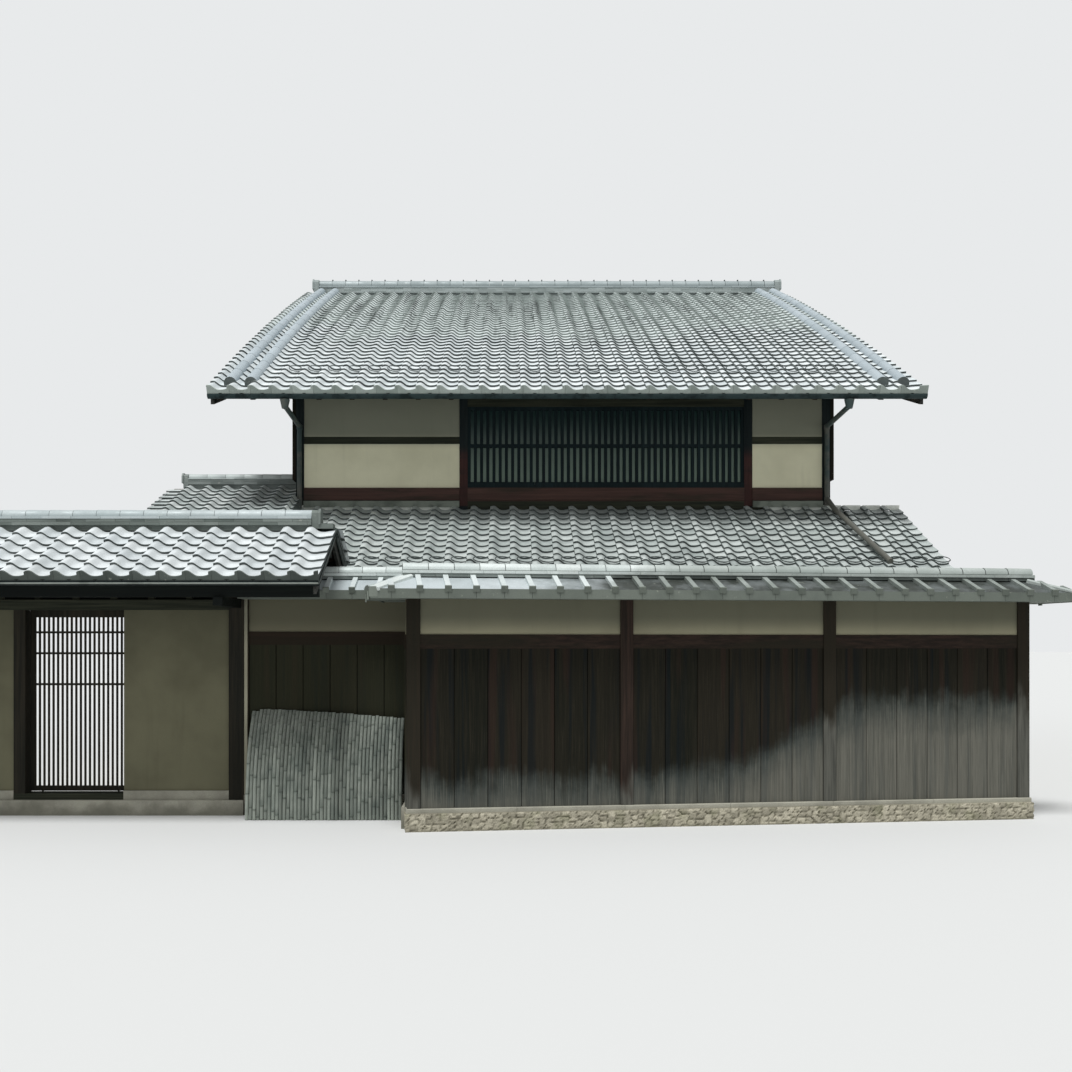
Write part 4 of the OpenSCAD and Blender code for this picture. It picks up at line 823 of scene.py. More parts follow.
# house_post and lattice_wood are tinted a cool teal: painted shade.
house_posts = wood_finish("house_post", (18, 26, 28), (38, 46, 46), "Z", reddish=(3.4, 3.95, (74, 50, 47)),
                          within=3.0)
gate_timber = wood_finish("gate_timber", (26, 27, 22), (52, 48, 40), "Z")
lattice_wood = wood_finish("lattice_wood", (14, 26, 29), (30, 44, 46), "Z")
timber_y = wood_finish("timber_rafter", (34, 29, 25), (70, 58, 48), "Y")
shade_wood = wood_finish("shaded_timber", (14, 19, 18), (30, 35, 32), "X")
deck_wood = wood_finish("deck_board", (58, 49, 41), (96, 80, 65), "Y")
gate_deck_wood = wood_finish("gate_deck_board", (26, 34, 33), (92, 102, 98), "Y")
barge_wood = wood_finish("barge_board", (38, 38, 36), (84, 84, 80), "Y", other_colour=(126, 128, 122))
boards = board_finish("charred_board")
# Near black strips behind the gaps between boards: painted shade.
gap_shade = plain_finish("board_gap_painted_shade", (12, 14, 13))
wall_posts = post_finish("wall_timber")
wall_rail = post_finish("wall_rail", "X")
# gate_plaster and wall_plaster are the earth plaster made darker all over: painted shade. The spans after the
# colours paint more shade under each eave.
plaster = plaster_finish("earth_plaster", (214, 208, 178), (196, 189, 158))
upper_plaster = plaster_finish("upper_plaster", (238, 234, 204), (222, 218, 188), (4.08, 4.3), 0.86)
edge_plaster = plaster_finish("edge_plaster", (176, 173, 152), (156, 152, 132), (1.6, 2.0), 0.5)
wall_plaster = plaster_finish("wall_plaster", (182, 177, 148), (166, 161, 134), (1.66, 1.96), 0.82, -1.6)
gate_plaster = plaster_finish("gate_plaster", (118, 116, 94), (100, 98, 79), (1.3, 2.3), 0.5)
side_plaster = plaster_finish("side_plaster", (206, 198, 172), (186, 178, 152))
stone = stone_finish("plinth_stone", (150, 147, 137), (112, 110, 102))
sill_stone = stone_finish("sill_stone", (172, 170, 156), (148, 146, 134), 1.4)
rubble = rubble_finish("rubble_stone")
# The gate's gutter, below 3 m, is near black: painted shade. On the main gutter the dark colour makes
# patches.
gutter_metal = metal_finish("gutter_metal", (50, 64, 65), (16, 21, 21), specular=0.15, low=3.0)
# The rim's pale grey, far lighter than the gutter's paint, is a painted highlight on its rolled edge.
rim_highlight_metal = metal_finish("gutter_rim", (136, 142, 136), (104, 110, 104))
pipe_metal = metal_finish("pipe_metal", (60, 74, 73), (104, 103, 96), low=3.4)
flashing = metal_finish("flashing_metal", (114, 121, 111), (88, 95, 87), metallic=0.2, specular=0.5)
bamboo = bamboo_finish("split_bamboo")
pane = pane_finish("window_pane")
earth = earth_finish("earth_floor")
shared = [tile_face, mortar, ridge_face, pale_mortar, plate]


def main_roof(rear):
    """One slope of the main roof with its eave tiles, verges and two rows of snow guards."""
    piece, place = Piece(), swept_slope(rear)
    pitch = roof_length / roof_courses
    edges = (-roof_half, roof_half)
    tile_slope(piece, place, roof_x0, roof_tiles, roof_tile_w, roof_length, roof_courses, 0.018, edges=edges)
    columns = range(3, roof_tiles - 3)
    for course in (4, 22):
        snow_rings(piece, place, roof_x0, columns, roof_tile_w, (course + 0.16) * pitch, 0.082, 0.038)
    verge_flanges(piece, place, edges, roof_length, roof_courses, 0.07)
    materials = [main_tile, main_face, mortar, main_ridge_face, pale_mortar, main_plate]
    word = "rear" if rear else "front"
    piece.build(f"roof_tiles_{word}", materials, "roof_tile", [f"tiles_{word}"])


def main_covers():
    """Two rows of round covers up each verge, with a lapped joint at every length."""
    piece = Piece()
    first, count, lap = 0.215, 18, 0.012
    pitch = (roof_length - first) / count
    for rear in (False, True):
        place = swept_slope(rear)
        for side in (-1, 1):
            for k in (0, 1):
                x = side * (roof_half - cover_in - k * roof_tile_w)
                for i in range(count):
                    low = first + i * pitch
                    half_round(piece, place, x, low, low + pitch + lap, closed=i == 0)
    piece.build("verge_cover_tiles", [cover_tile, tile_face], "roof_tile", ["verge_covers"])


def main_ridge():
    piece, place = Piece(), turned((0, ridge_y))
    z_top = roof_cz + math.sqrt(roof_r ** 2 - (roof_cy - ridge_y) ** 2)
    low = z_top + ridge_up
    courses, course_h, thin_h, cap_r = 3, 0.032, 0.03, 0.085
    end_length = 0.11
    end = roof_half - verge_in - end_length
    cap_z = low + courses * course_h + thin_h + cap_r / 3
    top = cap_z + cap_r
    ridge_courses(piece, place, -end, end, low, ridge_half, courses, course_h, z_top - 0.02, thin_h)
    ridge_cap(piece, place, -end, end, cap_z, cap_r, pitch=0.2276, knob=0.02)
    for side in (-1, 1):
        ridge_end(piece, place, side * end, side, (z_top, top - 0.16, top), ridge_half, end_length, 0.08)
    materials = [main_cap, tile_face, mortar, main_ridge_face]
    piece.build("main_ridge_tiles", materials, "roof_tile", ["main_ridge"])


def lower_roof():
    """The lower roof, whose tile heads are closed with mortar beside the upper window."""
    piece = Piece()
    run = leanto_run + tile_over
    length = run / math.cos(leanto_pitch)
    place = flat_slope(-run, leanto_z - math.tan(leanto_pitch) * run, leanto_pitch)
    n = leanto_tiles_n
    x0 = leanto_x0 + (1 - lip_u) * ((leanto_x1 - leanto_x0) / n)
    width = (leanto_x1 - x0) / (n - 1 + lip_u)
    tile_slope(piece, place, x0, n, width, length, leanto_courses, 0.012)
    middle = x0 + (np.arange(n) + 0.4) * width
    beside = np.flatnonzero((middle < window_x0 - 0.1) | (middle > window_x1 + 0.1))
    head_fill(piece, place, x0, beside, width, length - 0.012)
    snow_rings(piece, place, x0, range(n), width, 2.14 * (length / leanto_courses), 0.096, 0.035)
    verge_flanges(piece, place, (leanto_x0, leanto_x1), length, leanto_courses)
    piece.build("lower_roof_tiles", [low_tile, *shared], "roof_tile", ["leanto_tiles"])


def wing_roof():
    """The side wing's two slopes and ridge, and a strip beside the front slope before the corner post."""
    piece = Piece()
    run = wing_run - wing_ridge_half + tile_over
    length = run / math.cos(wing_pitch)
    eave = wing_ridge_y - wing_run - tile_over, wing_z - math.tan(wing_pitch) * (wing_run + tile_over)
    width = (wing_x1 - wing_x0) / wing_tiles_n
    middle = ((wing_x0 + wing_x1) / 2, wing_ridge_y)
    for centre, flat, verge in ((None, (1, 0), (wing_x0, None)), (middle, (0, 1), (None, wing_x1))):
        place = flat_slope(*eave, wing_pitch, centre)
        tile_slope(piece, place, wing_x0, wing_tiles_n, width, length, wing_courses, 0.012, flat,
                   (wing_x0, wing_x1))
        verge_flanges(piece, place, verge, length, wing_courses)
    place = flat_slope(*eave, wing_pitch)
    reach, courses = 1.04, 6
    tile_slope(piece, place, wing_x1 + 0.004, 1, 0.1, reach, courses)
    verge_flanges(piece, place, (None, wing_x1 + 0.087), reach, courses, 0.17)
    piece.build("wing_roof_tiles", [wing_tile, *shared], "roof_tile", ["wing_tiles"])
    ridge, place = Piece(), turned((0, wing_ridge_y))
    courses, course_h, thin_h, cap_r, end_length = 2, 0.034, 0.008, 0.05, 0.08
    x0 = wing_x0 + 0.11 + end_length
    low = wing_z + 0.043
    cap_z = low + courses * course_h + thin_h + cap_r / 3
    ridge_courses(ridge, place, x0, wing_x1, low, wing_ridge_half, courses, course_h, wing_z - 0.03, thin_h)
    ridge_cap(ridge, place, x0, wing_x1, cap_z, cap_r)
    levels = (wing_z, low + course_h, cap_z + 0.045)
    ridge_end(ridge, place, x0, -1, levels, wing_ridge_half - 0.02, end_length, 0.06)
    ridge.build("wing_ridge_tiles", [wing_tile, *shared], "roof_tile", ["wing_ridge"])


def gate_roof():
    piece = Piece()
    edges = (gate_x - gate_half, gate_x - gate_half + 2 * gate_half)
    for run, courses, centre in ((gate_front_run + tile_over, 6, None), (gate_rear_run, 3, (gate_x, gate_y))):
        length = (run - gate_ridge_half) / math.cos(gate_pitch)
        place = flat_slope(gate_y - run, gate_z - math.tan(gate_pitch) * run, gate_pitch, centre)
        tile_slope(piece, place, edges[0], gate_tiles_n, gate_tile_w, length, courses, 0.008, edges=edges)
        verge_flanges(piece, place, edges, length, courses)
    piece.build("gate_roof_tiles", [tile, *shared], "roof_tile", ["gate_tiles"])
    ridge, place = Piece(), turned((0, gate_y))
    end_length, end_in = 0.09, 0.15
    end = gate_half - end_length - end_in
    low = gate_z + 0.03
    courses, course_h, thin_h, cap_r = 2, 0.033, 0.024, 0.062
    cap_z = low + courses * course_h + thin_h + cap_r / 6
    top = cap_z + cap_r
    ridge_courses(ridge, place, gate_x - end, gate_x + end, low, gate_ridge_half, courses, course_h,
                  gate_z - 0.02, thin_h)
    ridge_cap(ridge, place, gate_x - end, gate_x + end, cap_z, cap_r, curl=10)
    for side in (-1, 1):
        ridge_end(ridge, place, gate_x + side * end, side, (gate_z, top - 0.14, top - 0.005),
                  gate_ridge_half - 0.02, end_length, 0.06 + end_in)
    materials = [gate_cap, tile_face, mortar, gate_ridge_face]
    ridge.build("gate_ridge_tiles", materials, "roof_tile", ["gate_ridge"])


def wall_slope(piece, place, side, s0, s1, half=wall_roof_half, clip=lambda s: 1.0, first=0.034):
    """One slope of the wall's roof: flat pans under square ribs, and an upright eave face below each pan.

    place is (along, across, up); clip gives the share of the slope that shows at a station."""
    ribs = np.arange(s0 + (first - s0) % rib_step, s1 - rib_w, rib_step)
    edges = np.concatenate([[s0], ribs[ribs > s0 + rib_w], [s1]])
    rise = Vector((half - wall_ridge_w, wall_rise)).normalized()
    seam, end_out, face_t = 0.0015, 0.007, 0.014
    pan_foot, rib_foot, end_foot = 0.02, 0.03, 0.075

    def slab(a, b, share_a, share_b, up0, up1, tone, kind, foot):
        """A slab on the slope between two stations, up to a share of it at each, raised square to it.

        foot is the share by which it hangs over the eave."""
        points = []
        for s, top_share in ((a, share_a), (b, share_b)):
            for share in (-foot, top_share):
                for up in (up0, up1):
                    across = half - (half - wall_ridge_w) * share + up * rise[1]
                    level = wall_eave_top + (wall_top - wall_eave_top) * share + up * rise[0]
                    points.append(place(s, side * across, level))
        piece.add(np.array(points), BOX_FACES if side < 0 else BOX_INSIDE_OUT, tone, tone, kind=kind)

    for a, b in zip(edges[:-1], edges[1:]):
        tone = rng.random()
        slab(a + seam, b - seam, clip(a), clip(b), 0.0, pan_t + rng.normal(0, 0.0008), tone, PAN, pan_foot)
        face = box_points(a + seam, b - seam, side * half, side * (half + face_t), wall_eave_z - 0.006,
                          wall_eave_top + pan_t * rise[0])
        piece.block(place, face, tone * 0.5, 0.5, FACE, BOX_INSIDE_OUT if side < 0 else BOX_FACES)
    for s in ribs:
        a, b = s - rib_w / 2, s + rib_w / 2
        share = min(clip(a), clip(b))
        if share < 0.12:
            continue
        tone = 0.3 + 0.7 * rng.random()
        slab(a, b, share, share, pan_t - 0.002, pan_t + rib_h, tone, RIB, rib_foot)
        slab(a - end_out, b + end_out, 0.0, 0.0, -0.004, pan_t + rib_h + 0.003, tone * 0.5, FACE, end_foot)


def wall_outline(half):
    """Section of the wall's roof under its tiles."""
    return mirrored([(-half + 0.01, wall_eave_z), (-half + 0.01, wall_eave_top - 0.004),
                     (-wall_ridge_w, wall_top - 0.004)])


def wall_ridge(piece, place, s0, s1):
    """A flat course on a dark core, a dark mortar bed and round caps along one of the wall's ridges. The core
    and the bed show only as thin dark lines: painted shadow.
    """
    half, course_h, thin_h, bed_half, cap_up, cap_r = 0.085, 0.033, 0.027, 0.056, 0.089, 0.06
    # Dark core and bed: painted shadow lines under the course and the caps.
    ridge_courses(piece, place, s0, s1, wall_top + 0.018, half, 1, course_h, wall_eave_top, thin_h, DARK)
    bed = box_points(s0 + 0.01, s1 - 0.01, -bed_half, bed_half, wall_top + 0.06, wall_top + 0.09)
    piece.block(place, bed, 0.3, kind=DARK)
    ridge_cap(piece, place, s0, s1, wall_top + cap_up, cap_r, curl=4)


def wall_roof():
    """The small roofs with their ridges: the street wall's, hipped, the recess's and the return's, gabled."""
    piece = Piece()
    half = wall_roof_half
    s0, s1 = -wall_hip_over, wall_len + wall_hip_over
    hip = s0 + hip_run, s1 - hip_run
    outline = np.array(wall_outline(half))
    core = np.concatenate([at_street(s, *outline.T) for s in (s0 + 0.01, s1 - 0.01)])
    for row, s in ((core[:6], hip[0]), (core[6:], hip[1])):
        row[2:4] = at_street(s, *outline[2:4].T)
    faces = [(0, 1, 4, 5), (1, 2, 3, 4), (11, 10, 7, 6), (10, 9, 8, 7)]
    faces += [(i, 6 + i, 6 + (i + 1) % 6, (i + 1) % 6) for i in range(6)]
    piece.add(core, faces, 0.4, 0.5, kind=FACE)

    def hipped(s):
        return float(np.clip(min(s - s0, s1 - s) / hip_run, 0, 1))

    def mitred(s):
        return float(np.clip((half - abs(s)) / hip_run, 0, 1))

    for side in (-1, 1):
        wall_slope(piece, at_street, side, s0, s1, clip=hipped)
    for end, angle in ((s0, -math.pi / 2), (s1, math.pi / 2)):
        wall_slope(piece, end_place(end, angle), -1, -half, half, clip=mitred)
    wall_ridge(piece, at_street, *hip)
    for end, direction in ((s0, 1), (s1, -1)):
        for side in (-1, 1):
            hip_ridge(piece, end, direction, side)

    recess_end = recess_w + 0.26
    prism(piece, at_recess, wall_outline(half), 0.0, recess_end, 0.4, FACE)
    for side in (-1, 1):
        wall_slope(piece, at_recess, side, 0.0, recess_end, first=0.108)
    wall_ridge(piece, at_recess, 0.0, recess_w)
    narrow = 0.3
    prism(piece, at_return, wall_outline(narrow), 0.3, recess_d - 0.3, 0.4, FACE)
    for side in (-1, 1):
        wall_slope(piece, at_return, side, 0.3, recess_d - 0.3, narrow)
    materials = [wall_tile, wall_face, mortar, wall_course, wall_pan, wall_rib]
    piece.build("wall_roof_tiles", materials, "roof_tile", ["wall_roof", "wall_ridge"])


def end_place(end, angle):
    """The street wall's place turned to face along the wall, for the slope of a hipped end."""
    c, s = math.cos(angle), math.sin(angle)
    centre = end + math.copysign(wall_roof_half, wall_len / 2 - end)

    def place(x, y, z):
        x, y, z = np.broadcast_arrays(x, y, z)
        return at_street(centre + x * c - y * s, x * s + y * c, z)
    return place


def hip_ridge(piece, end, direction, side):
    """A flat cover from an eave's corner up to the ridge's end, with a block and a plate at the corner."""
    start = np.array([end + direction * 0.02, side * (wall_roof_half - 0.02), wall_eave_top + 0.022])
    stop = np.array([end + direction * (hip_run + 0.03), side * wall_ridge_w, wall_top + 0.026])
    along = stop - start
    length = float(np.linalg.norm(along))
    along = along / length
    level = np.cross([0, 0, 1], along)
    level = level / np.linalg.norm(level)
    normal = np.cross(along, level)

    def place(s, t, z):
        s, t, z = np.broadcast_arrays(s, t, z)
        local = start + s[..., None] * along + t[..., None] * level + z[..., None] * normal
        return at_street(local[..., 0], local[..., 1], local[..., 2])

    prism(piece, place, mirrored([(-0.07, -0.03), (-0.07, -0.002), (-0.05, 0.012)]), 0.0, length + 0.02, 0.8)
    corner = side * wall_roof_half
    y0, y1 = sorted((corner + side * 0.016, corner - side * 0.06))
    for out, reach, inset, low, high, tone in ((0.01, 0.065, 0.0, 0.006, 0.096, 0.9),
                                               (0.013, -0.025, 0.01, -0.02, 0.055, 1.0)):
        x0, x1 = sorted((end - direction * out, end + direction * reach))
        corners = box_points(x0, x1, y0 + inset, y1 - inset, wall_eave_z + low, wall_eave_z + high)
        piece.block(at_street, corners, tone, 0.4, FACE)


def board_run(piece, place, s0, s1, z0, z1, width=0.3, thick=board_t):
    """Upright boards with narrow gaps, each set in or out a little and with its own grain, over near black
    strips that paint the shade in the gaps.

    z0 and z1 are heights, or calls that give the height at a station."""
    count = max(1, round((s1 - s0) / width))
    pitch = (s1 - s0) / count
    edge = 0.004

    def heights(z, stations):
        return z if np.isscalar(z) else np.array([z(s) for s in stations])

    for i in range(count):
        a, b = s0 + i * pitch + board_gap, s0 + (i + 1) * pitch - board_gap
        y0 = board_y + rng.normal(0, 0.0012)
        y1 = board_y + thick
        xs = np.array([a, a, a + edge, b - edge, b, b])
        ys = np.array([y1, y0 + edge, y0, y0, y0 + edge, y1])
        levels = [heights(z, xs) for z in (z0, z1)]
        rows = [place(xs, ys, z) for z in levels]
        shift = rng.random(3) * (5, 5, 20)
        grain = np.concatenate([np.stack(np.broadcast_arrays(xs, ys, z), -1) for z in levels]) + shift
        piece.add(np.concatenate(rows), tube_faces(6, 2), rng.random(), grain)
        ends = np.array([a, b])
        # A near black strip behind the gap: painted shade.
        strip = [place(ends + np.array([-1, 1]) * board_gap, y1 - 0.004, heights(z, ends)) for z in (z0, z1)]
        piece.add(np.concatenate(strip), [(0, 1, 3, 2)], kind=FACE)


def wall_boards():
    piece = Piece()
    half = wall_post / 2
    for i in range(wall_bays):
        board_run(piece, at_street, i * wall_bay + half, (i + 1) * wall_bay - half, wall_foot_z, board_z)
    board_run(piece, at_return, half, recess_d - 0.075, wall_foot_z, board_z)
    board_run(piece, at_recess_foot, jamb_w, recess_w - half, wall_foot_z, board_z + recess_up, 0.27)
    piece.build("wall_board_planks", [boards, gap_shade], "dark_timber", ["wall_boards"])


def gable_top(y):
    """Height of the underside of the main roof's deck over a side wall."""
    y = min(y, house_d - y)
    return roof_cz + math.sqrt((roof_r - deck_t - 0.0004) ** 2 - (roof_cy - y) ** 2)


def side_boards():
    """Upright boards on the upper part of the side walls, above the wing's roof at the left."""
    piece = Piece()
    clad_t, clad_z, width = -board_y, 3.57, 0.22

    def left_foot(s):
        near = abs(house_d - s - wing_ridge_y) < wing_ridge_half + 0.02
        return wing_z + 0.245 if near else clad_z

    right = turned((outer_x, 0), math.pi / 2)
    left = turned((-outer_x, house_d), -math.pi / 2)
    board_run(piece, right, 0.0, house_d, clad_z, gable_top, width, clad_t)
    board_run(piece, left, 0.0, house_d, left_foot, lambda s: gable_top(house_d - s), width, clad_t)
    piece.build("side_board_planks", [boards, gap_shade], "dark_timber", ["side_boards"])


def bamboo_strips():
    """The leaning screen: split bamboo strips, each with swollen dark nodes at its own heights."""
    piece = Piece()
    x0, x1 = recess_x0 + 0.085, recess_x0 + recess_w - 0.12
    count, sides = 42, 6
    pitch = (x1 - x0) / count
    top_angle = math.radians(62)
    screen_h, screen_out, thick = 1.055, 0.38, 0.02
    y_top = gate_y + board_y - 0.0004
    node_step, node_share = 0.21, 0.006
    arc = np.linspace(0, np.pi, sides + 1)
    n = 2 * sides
    for i in range(count):
        centre = x0 + (i + 0.5) * pitch
        half = pitch / 2 * (0.9 + 0.08 * rng.random())
        top = 1.0 - 0.13 * (i / count) ** 1.3 - 0.012 * rng.random() - (0.03 if i < 2 else 0.0)
        foot = 0.006 * rng.random()
        spacing = node_step * rng.uniform(0.85, 1.35)
        nodes = np.arange(0.02 + spacing * rng.random(), top - 0.03, spacing)
        cuts = (nodes[:, None] + node_share * np.array([-2.0, -0.8, 0.0, 0.8])).ravel()
        share = np.unique(np.clip(np.concatenate([np.linspace(foot, top, 12), cuts]), foot, top))
        angle = top_angle * share
        out = screen_out * (np.cos(angle) - math.cos(top_angle)) / (1 - math.cos(top_angle))
        z = screen_h * np.sin(angle) / math.sin(top_angle) - base_h
        y = y_top - thick - out + 0.003 * rng.normal()
        joint = np.array([np.exp(-((s - nodes) / node_share) ** 2).max() for s in share])
        step = 0.0016 * ((share[:, None] > nodes).sum(1) % 2)
        radius = half * (1 + 0.1 * joint)
        rings = np.concatenate([np.concatenate([
            straight(centre + step[k] + radius[k] * np.cos(arc[::-1]),
                     y[k] + thick * (1 - 0.9 * np.sin(arc)) - 0.004 * joint[k], z[k]),
            straight(centre + step[k] + radius[k] * np.cos(arc[1:-1]), y[k] + thick, z[k])])
            for k in range(len(share))])
        grain = rings + rng.random(3) * (3, 3, 9)
        tone = (0.5 + 0.5 * rng.random()) * (1 - 0.7 * np.repeat(joint, n))
        piece.add(rings, tube_faces(n, len(share)), tone[None], grain)
    piece.build("bamboo_strips", [bamboo], "bamboo", ["bamboo_screen"])


def wall_flashing():
    """A narrow cover strip over the head of the lower roof, in the two plaster bays."""
    piece = Piece()
    for x0, x1 in ((-3.189, -1.277), (2.331, 3.189)):
        strip = box_points(x0, x1, -0.056, -0.001, 3.236, 3.313)
        strip[:, 2] -= np.where(strip[:, 1] < -0.03, 0.012, 0.0)
        piece.block(straight, strip)
    piece.build("wall_flashing", [flashing], "gutter_metal")


def gutter_rim():
    """The rolled front rim of the gate's gutter, pale with a painted highlight."""
    piece = Piece()
    sides, r, drop = 10, 0.008, math.radians(32)
    angle = np.linspace(0, 2 * np.pi, sides, endpoint=False)
    y = gate_gutter_y - gate_gutter_r * math.cos(drop) + r * np.cos(angle)
    z = gate_gutter_z - gate_gutter_r * math.sin(drop) + r * np.sin(angle)
    ends = [straight(gate_x + side * gate_half, y, z) for side in (-1, 1)]
    piece.add(np.concatenate(ends), tube_faces(sides, 2))
    piece.build("gate_gutter_rim", [rim_highlight_metal], "gutter_metal")


def window_rail():
    """The bottom rail of the upper window's frames, in front of the feet of the bars."""
    piece = Piece()
    outline = [(0.006, 3.47), (0.006, 3.538), (0.011, 3.543), (0.05, 3.543), (0.05, 3.47)]
    frames = 4
    for i in range(frames):
        a, b = [window_x0 + (window_x1 - window_x0) * k / frames for k in (i, i + 1)]
        prism(piece, straight, outline, a + 0.0015, b - 0.0015, rng.random())
    piece.build("window_foot_rail", [lattice_wood], "dark_timber")


def recess_edge():
    """The pale plaster edge beside the gate's corner post, with eased front corners."""
    piece = Piece()
    edge = box_points(recess_x0 + 0.002, recess_x0 + 0.036, gate_y - 0.075, gate_y - 0.058,
                      wall_foot_z + 0.002, wall_eave_z + recess_up)
    ease = np.where(edge[:, 1] < gate_y - 0.06, 0.002, 0.0)
    edge[:, 0] += ease * np.where(edge[:, 0] > recess_x0 + 0.02, -1, 1)
    piece.block(straight, edge)
    piece.build("recess_plaster_edge", [edge_plaster], "plaster")


def rough_plinth(piece, place, x0, x1, y0, y1, z0, z1):
    """A rubble plinth: rounded stones with sunk joints all round, and a level top."""
    step, depth = 0.016, 0.016
    stone_w, stone_h = 0.07, 0.045
    corners = [(x0, y0), (x1, y0), (x1, y1), (x0, y1)]
    points, outward = [], []
    for start, stop in zip(corners, corners[1:] + corners[:1]):
        side = np.subtract(stop, start)
        count = max(2, round(float(np.hypot(*side)) / step))
        points += [np.add(start, side * j / count) for j in range(count)]
        outward += [np.array([side[1], -side[0]]) / np.hypot(*side)] * count
    points, outward = np.array(points), np.array(outward)
    n = len(points)
    run = np.arange(n) * step
    levels = np.linspace(z0, z1, max(3, round((z1 - z0) / step) + 1))
    columns = np.arange(-1, n * step / stone_w + 2)
    lines = np.arange(-1, (z1 - z0) / stone_h + 2)
    centres = np.stack(np.meshgrid(columns, lines), -1).reshape(-1, 2)
    centres = centres + rng.uniform(-0.38, 0.38, (len(columns) * len(lines), 2))
    tones = rng.random(len(centres))
    rows, shades = [], []
    for k, level in enumerate(levels):
        at = np.stack([run / stone_w, np.full(n, (level - z0) / stone_h)], -1)
        apart = np.linalg.norm(at[:, None] - centres[None], axis=2)
        order = np.argsort(apart, axis=1)[:, :2]
        near = np.take_along_axis(apart, order, 1)
        joint = np.clip((near[:, 1] - near[:, 0]) / 0.28, 0, 1)
        inset = depth * (1 - joint * (2 - joint)) if 0 < k < len(levels) - 1 else np.full(n, depth * 0.6)
        at_row = points - outward * inset[:, None]
        rows.append(place(*at_row.T, level))
        shades.append((0.35 + 0.65 * tones[order[:, 0]]) * (0.25 + 0.75 * joint))
    piece.add(np.concatenate(rows), tube_faces(n, len(levels)), np.concatenate(shades)[None], kind=FACE)


def sill_course(piece, place, x0, x1, y0, y1, z0, z1, length=0.98):
    """A course of long sill stones with fine joints and eased top edges."""
    edges = np.linspace(x0, x1, max(1, round((x1 - x0) / length)) + 1)
    ease, joint = 0.006, 0.0012
    for a, b in zip(edges[:-1], edges[1:]):
        top = z1 - rng.uniform(0, joint)
        outline = [(y0, z0), (y0, top - ease), (y0 + ease, top), (y1 - ease, top), (y1, top - ease), (y1, z0)]
        prism(piece, place, outline, a + joint, b - joint, rng.random())


def wall_sill():
    """The street wall's foot, a smooth sill over rubble, and the plain sills of the return and recess."""
    piece = Piece()
    plinth, sill, end, low = 0.11, 0.08, 0.07, wall_foot_z - 0.0015
    rough_plinth(piece, at_street, -sill, wall_len + sill, -plinth, plinth, -base_h, plinth_top)
    sill_course(piece, at_street, -end, wall_len + end, -sill, sill, plinth_top - 0.004, wall_foot_z)
    sill_course(piece, at_return, 0.1, recess_d - 0.1, -sill, sill, -base_h, low)
    sill_course(piece, at_recess_foot, 0.0, recess_w + sill, -sill, sill, -base_h, low)
    piece.build("wall_sill_stones", [sill_stone, rubble], "stone", ["wall_sill"])


def pipe_fittings():
    """A tapered hopper under the gutter, a collar and a flared foot on each downpipe of the front."""
    piece = Piece()
    sides = 16
    angle = np.linspace(0, 2 * np.pi, sides, endpoint=False)
    fittings = [(-1.01, 4.352, 0.058, 4.25, 0.036), (-0.0354, 4.235, 0.036, 4.185, 0.036),
                (-0.0354, 3.35, 0.0335, 3.245, 0.0345)]
    for x in (-house_w / 2, house_w / 2):
        for y, high, r_high, low, r_low in fittings:
            rows = [straight(x + r * np.cos(angle), y + r * np.sin(angle), z)
                    for z, r in ((low, r_low), (high, r_high))]
            piece.add(np.concatenate(rows), tube_faces(sides, 2))
    piece.build("pipe_fittings", [pipe_metal], "pipe_metal")


CAD_FINISH = [
    (stone, "foundation"), (earth, "ground_floor"), (side_plaster, "left_wall right_wall wing_walls"),
    (deck_wood, "upper_floor deck_front deck_rear leanto_deck wing_deck"),
    (plaster, "rear_wall ground_front_wall"),
    (timber_x, "door_head_wall front_rails roof_beams gate_beams"), (house_posts, "posts"),
    (upper_plaster, "front_plaster"), (lattice_wood, "window_lattices"), (pane, "window_panes"),
    (timber_y, "rafters"), (barge_wood, "bargeboards"), (gutter_metal, "gutters"), (pipe_metal, "downpipes"),
    (gate_timber, "gate_posts gate_door"), (shade_wood, "gate_arms gate_purlins"),
    (gate_plaster, "gate_panels"), (sill_stone, "gate_sill"), (gate_deck_wood, "gate_deck"),
    (wall_posts, "wall_frame"), (wall_rail, "wall_rails"), (wall_plaster, "wall_plaster"),
]


def finish_cad_nodes():
    for material, names in CAD_FINISH:
        for name in names.split():
            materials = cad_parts[name].data.materials
            materials.clear()
            materials.append(material)


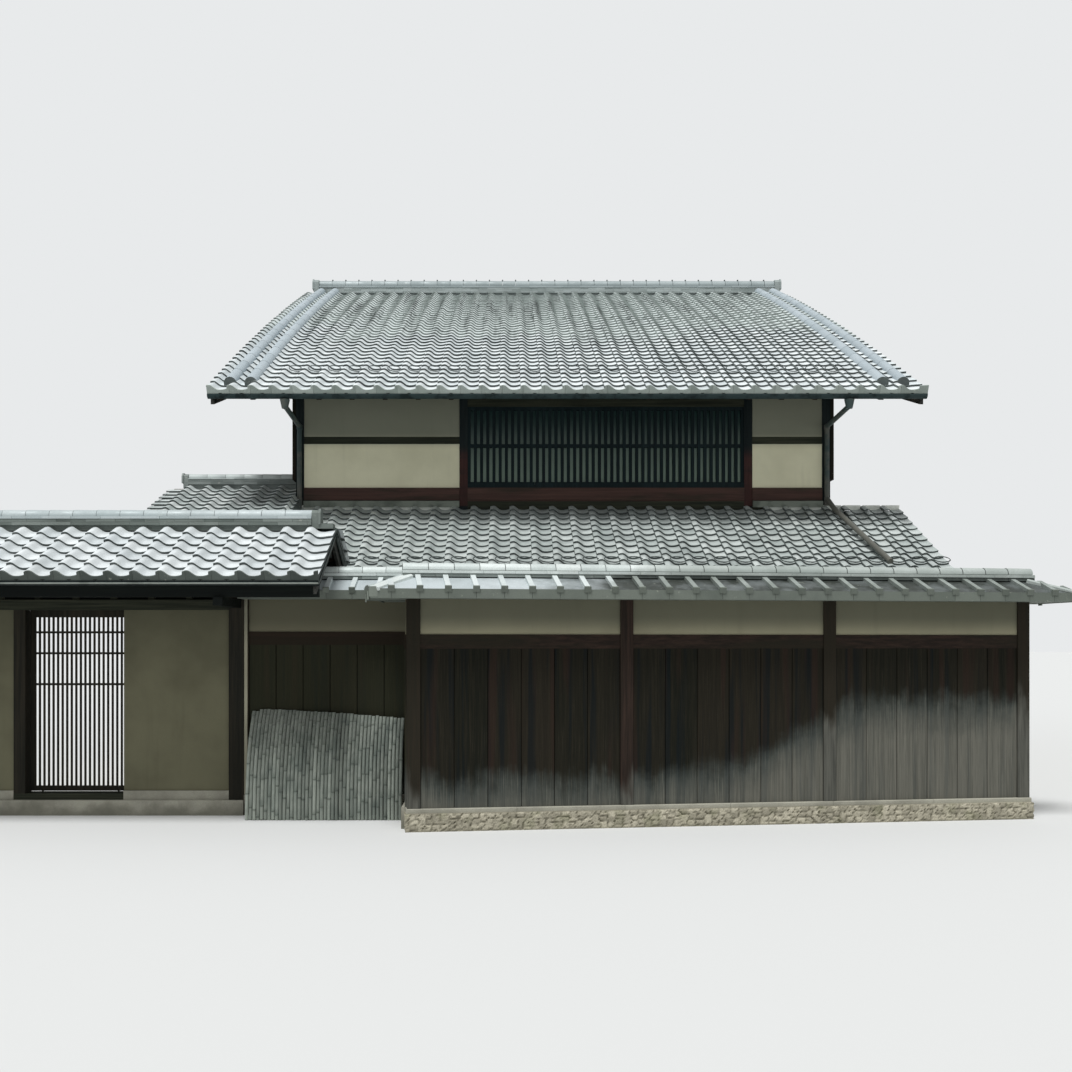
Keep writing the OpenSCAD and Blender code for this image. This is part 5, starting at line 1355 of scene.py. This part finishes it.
def floor_and_world():
    """A plain pale floor, and a pale world that gives soft light from all sides."""
    mesh = bpy.data.meshes.new("floor")
    reach = 300.0
    mesh.from_pydata([(-reach, -reach, 0), (reach, -reach, 0), (reach, reach, 0), (-reach, reach, 0)], [],
                     [(0, 1, 2, 3)])
    floor = bpy.data.objects.new("floor", mesh)
    bpy.context.scene.collection.objects.link(floor)
    mesh.materials.append(Graph("floor_paint", roughness=0.9, specular=0.1).finish((216, 217, 216)))
    world = bpy.data.worlds.new("studio")
    bpy.context.scene.world = world
    world.use_nodes = True
    tree = world.node_tree
    background = tree.nodes["Background"].inputs
    feed(tree, background["Color"], (232, 234, 235))
    rays = tree.nodes.new("ShaderNodeLightPath").outputs
    mirrored_ray = new_node(tree, "Math", {0: rays["Is Glossy Ray"], 1: rays["Is Transmission Ray"]},
                            operation="ADD")
    seen = new_node(tree, "Math", {0: rays["Is Camera Ray"], 1: mirrored_ray}, operation="ADD")
    strength = new_node(tree, "MapRange", {"Value": seen, "To Min": 0.5, "To Max": 1.0})
    feed(tree, background["Strength"], strength)


def lamps():
    """One broad soft lamp, high in front and to the left, as a bright overcast sky gives."""
    light = bpy.data.lights.new("sky_lamp", "SUN")
    light.energy = 2.8
    light.angle = math.radians(20)
    lamp = bpy.data.objects.new("sky_lamp", light)
    lamp.rotation_euler = (math.radians(24), 0, math.radians(-20))
    bpy.context.scene.collection.objects.link(lamp)


def camera():
    """The photograph's camera: level, square to the house front, with its lens shifted up."""
    data = bpy.data.cameras.new("camera")
    data.sensor_width = 36.0
    data.lens = 40.63
    data.shift_x = 0.027
    data.shift_y = 0.102
    data.clip_end = 500.0
    obj = bpy.data.objects.new("camera", data)
    obj.location = (-0.69, -14.9, 1.53 + base_h)
    obj.rotation_euler = (math.radians(90), 0, 0)
    bpy.context.scene.collection.objects.link(obj)
    bpy.context.scene.camera = obj


camera()
main_roof(rear=False)
main_roof(rear=True)
for make in (main_covers, main_ridge, lower_roof, wing_roof, gate_roof, wall_roof, wall_boards, side_boards,
             bamboo_strips, wall_flashing, gutter_rim, window_rail, recess_edge, wall_sill, pipe_fittings,
             finish_cad_nodes, floor_and_world, lamps):
    make()
bpy.context.scene.view_settings.view_transform = "Standard"
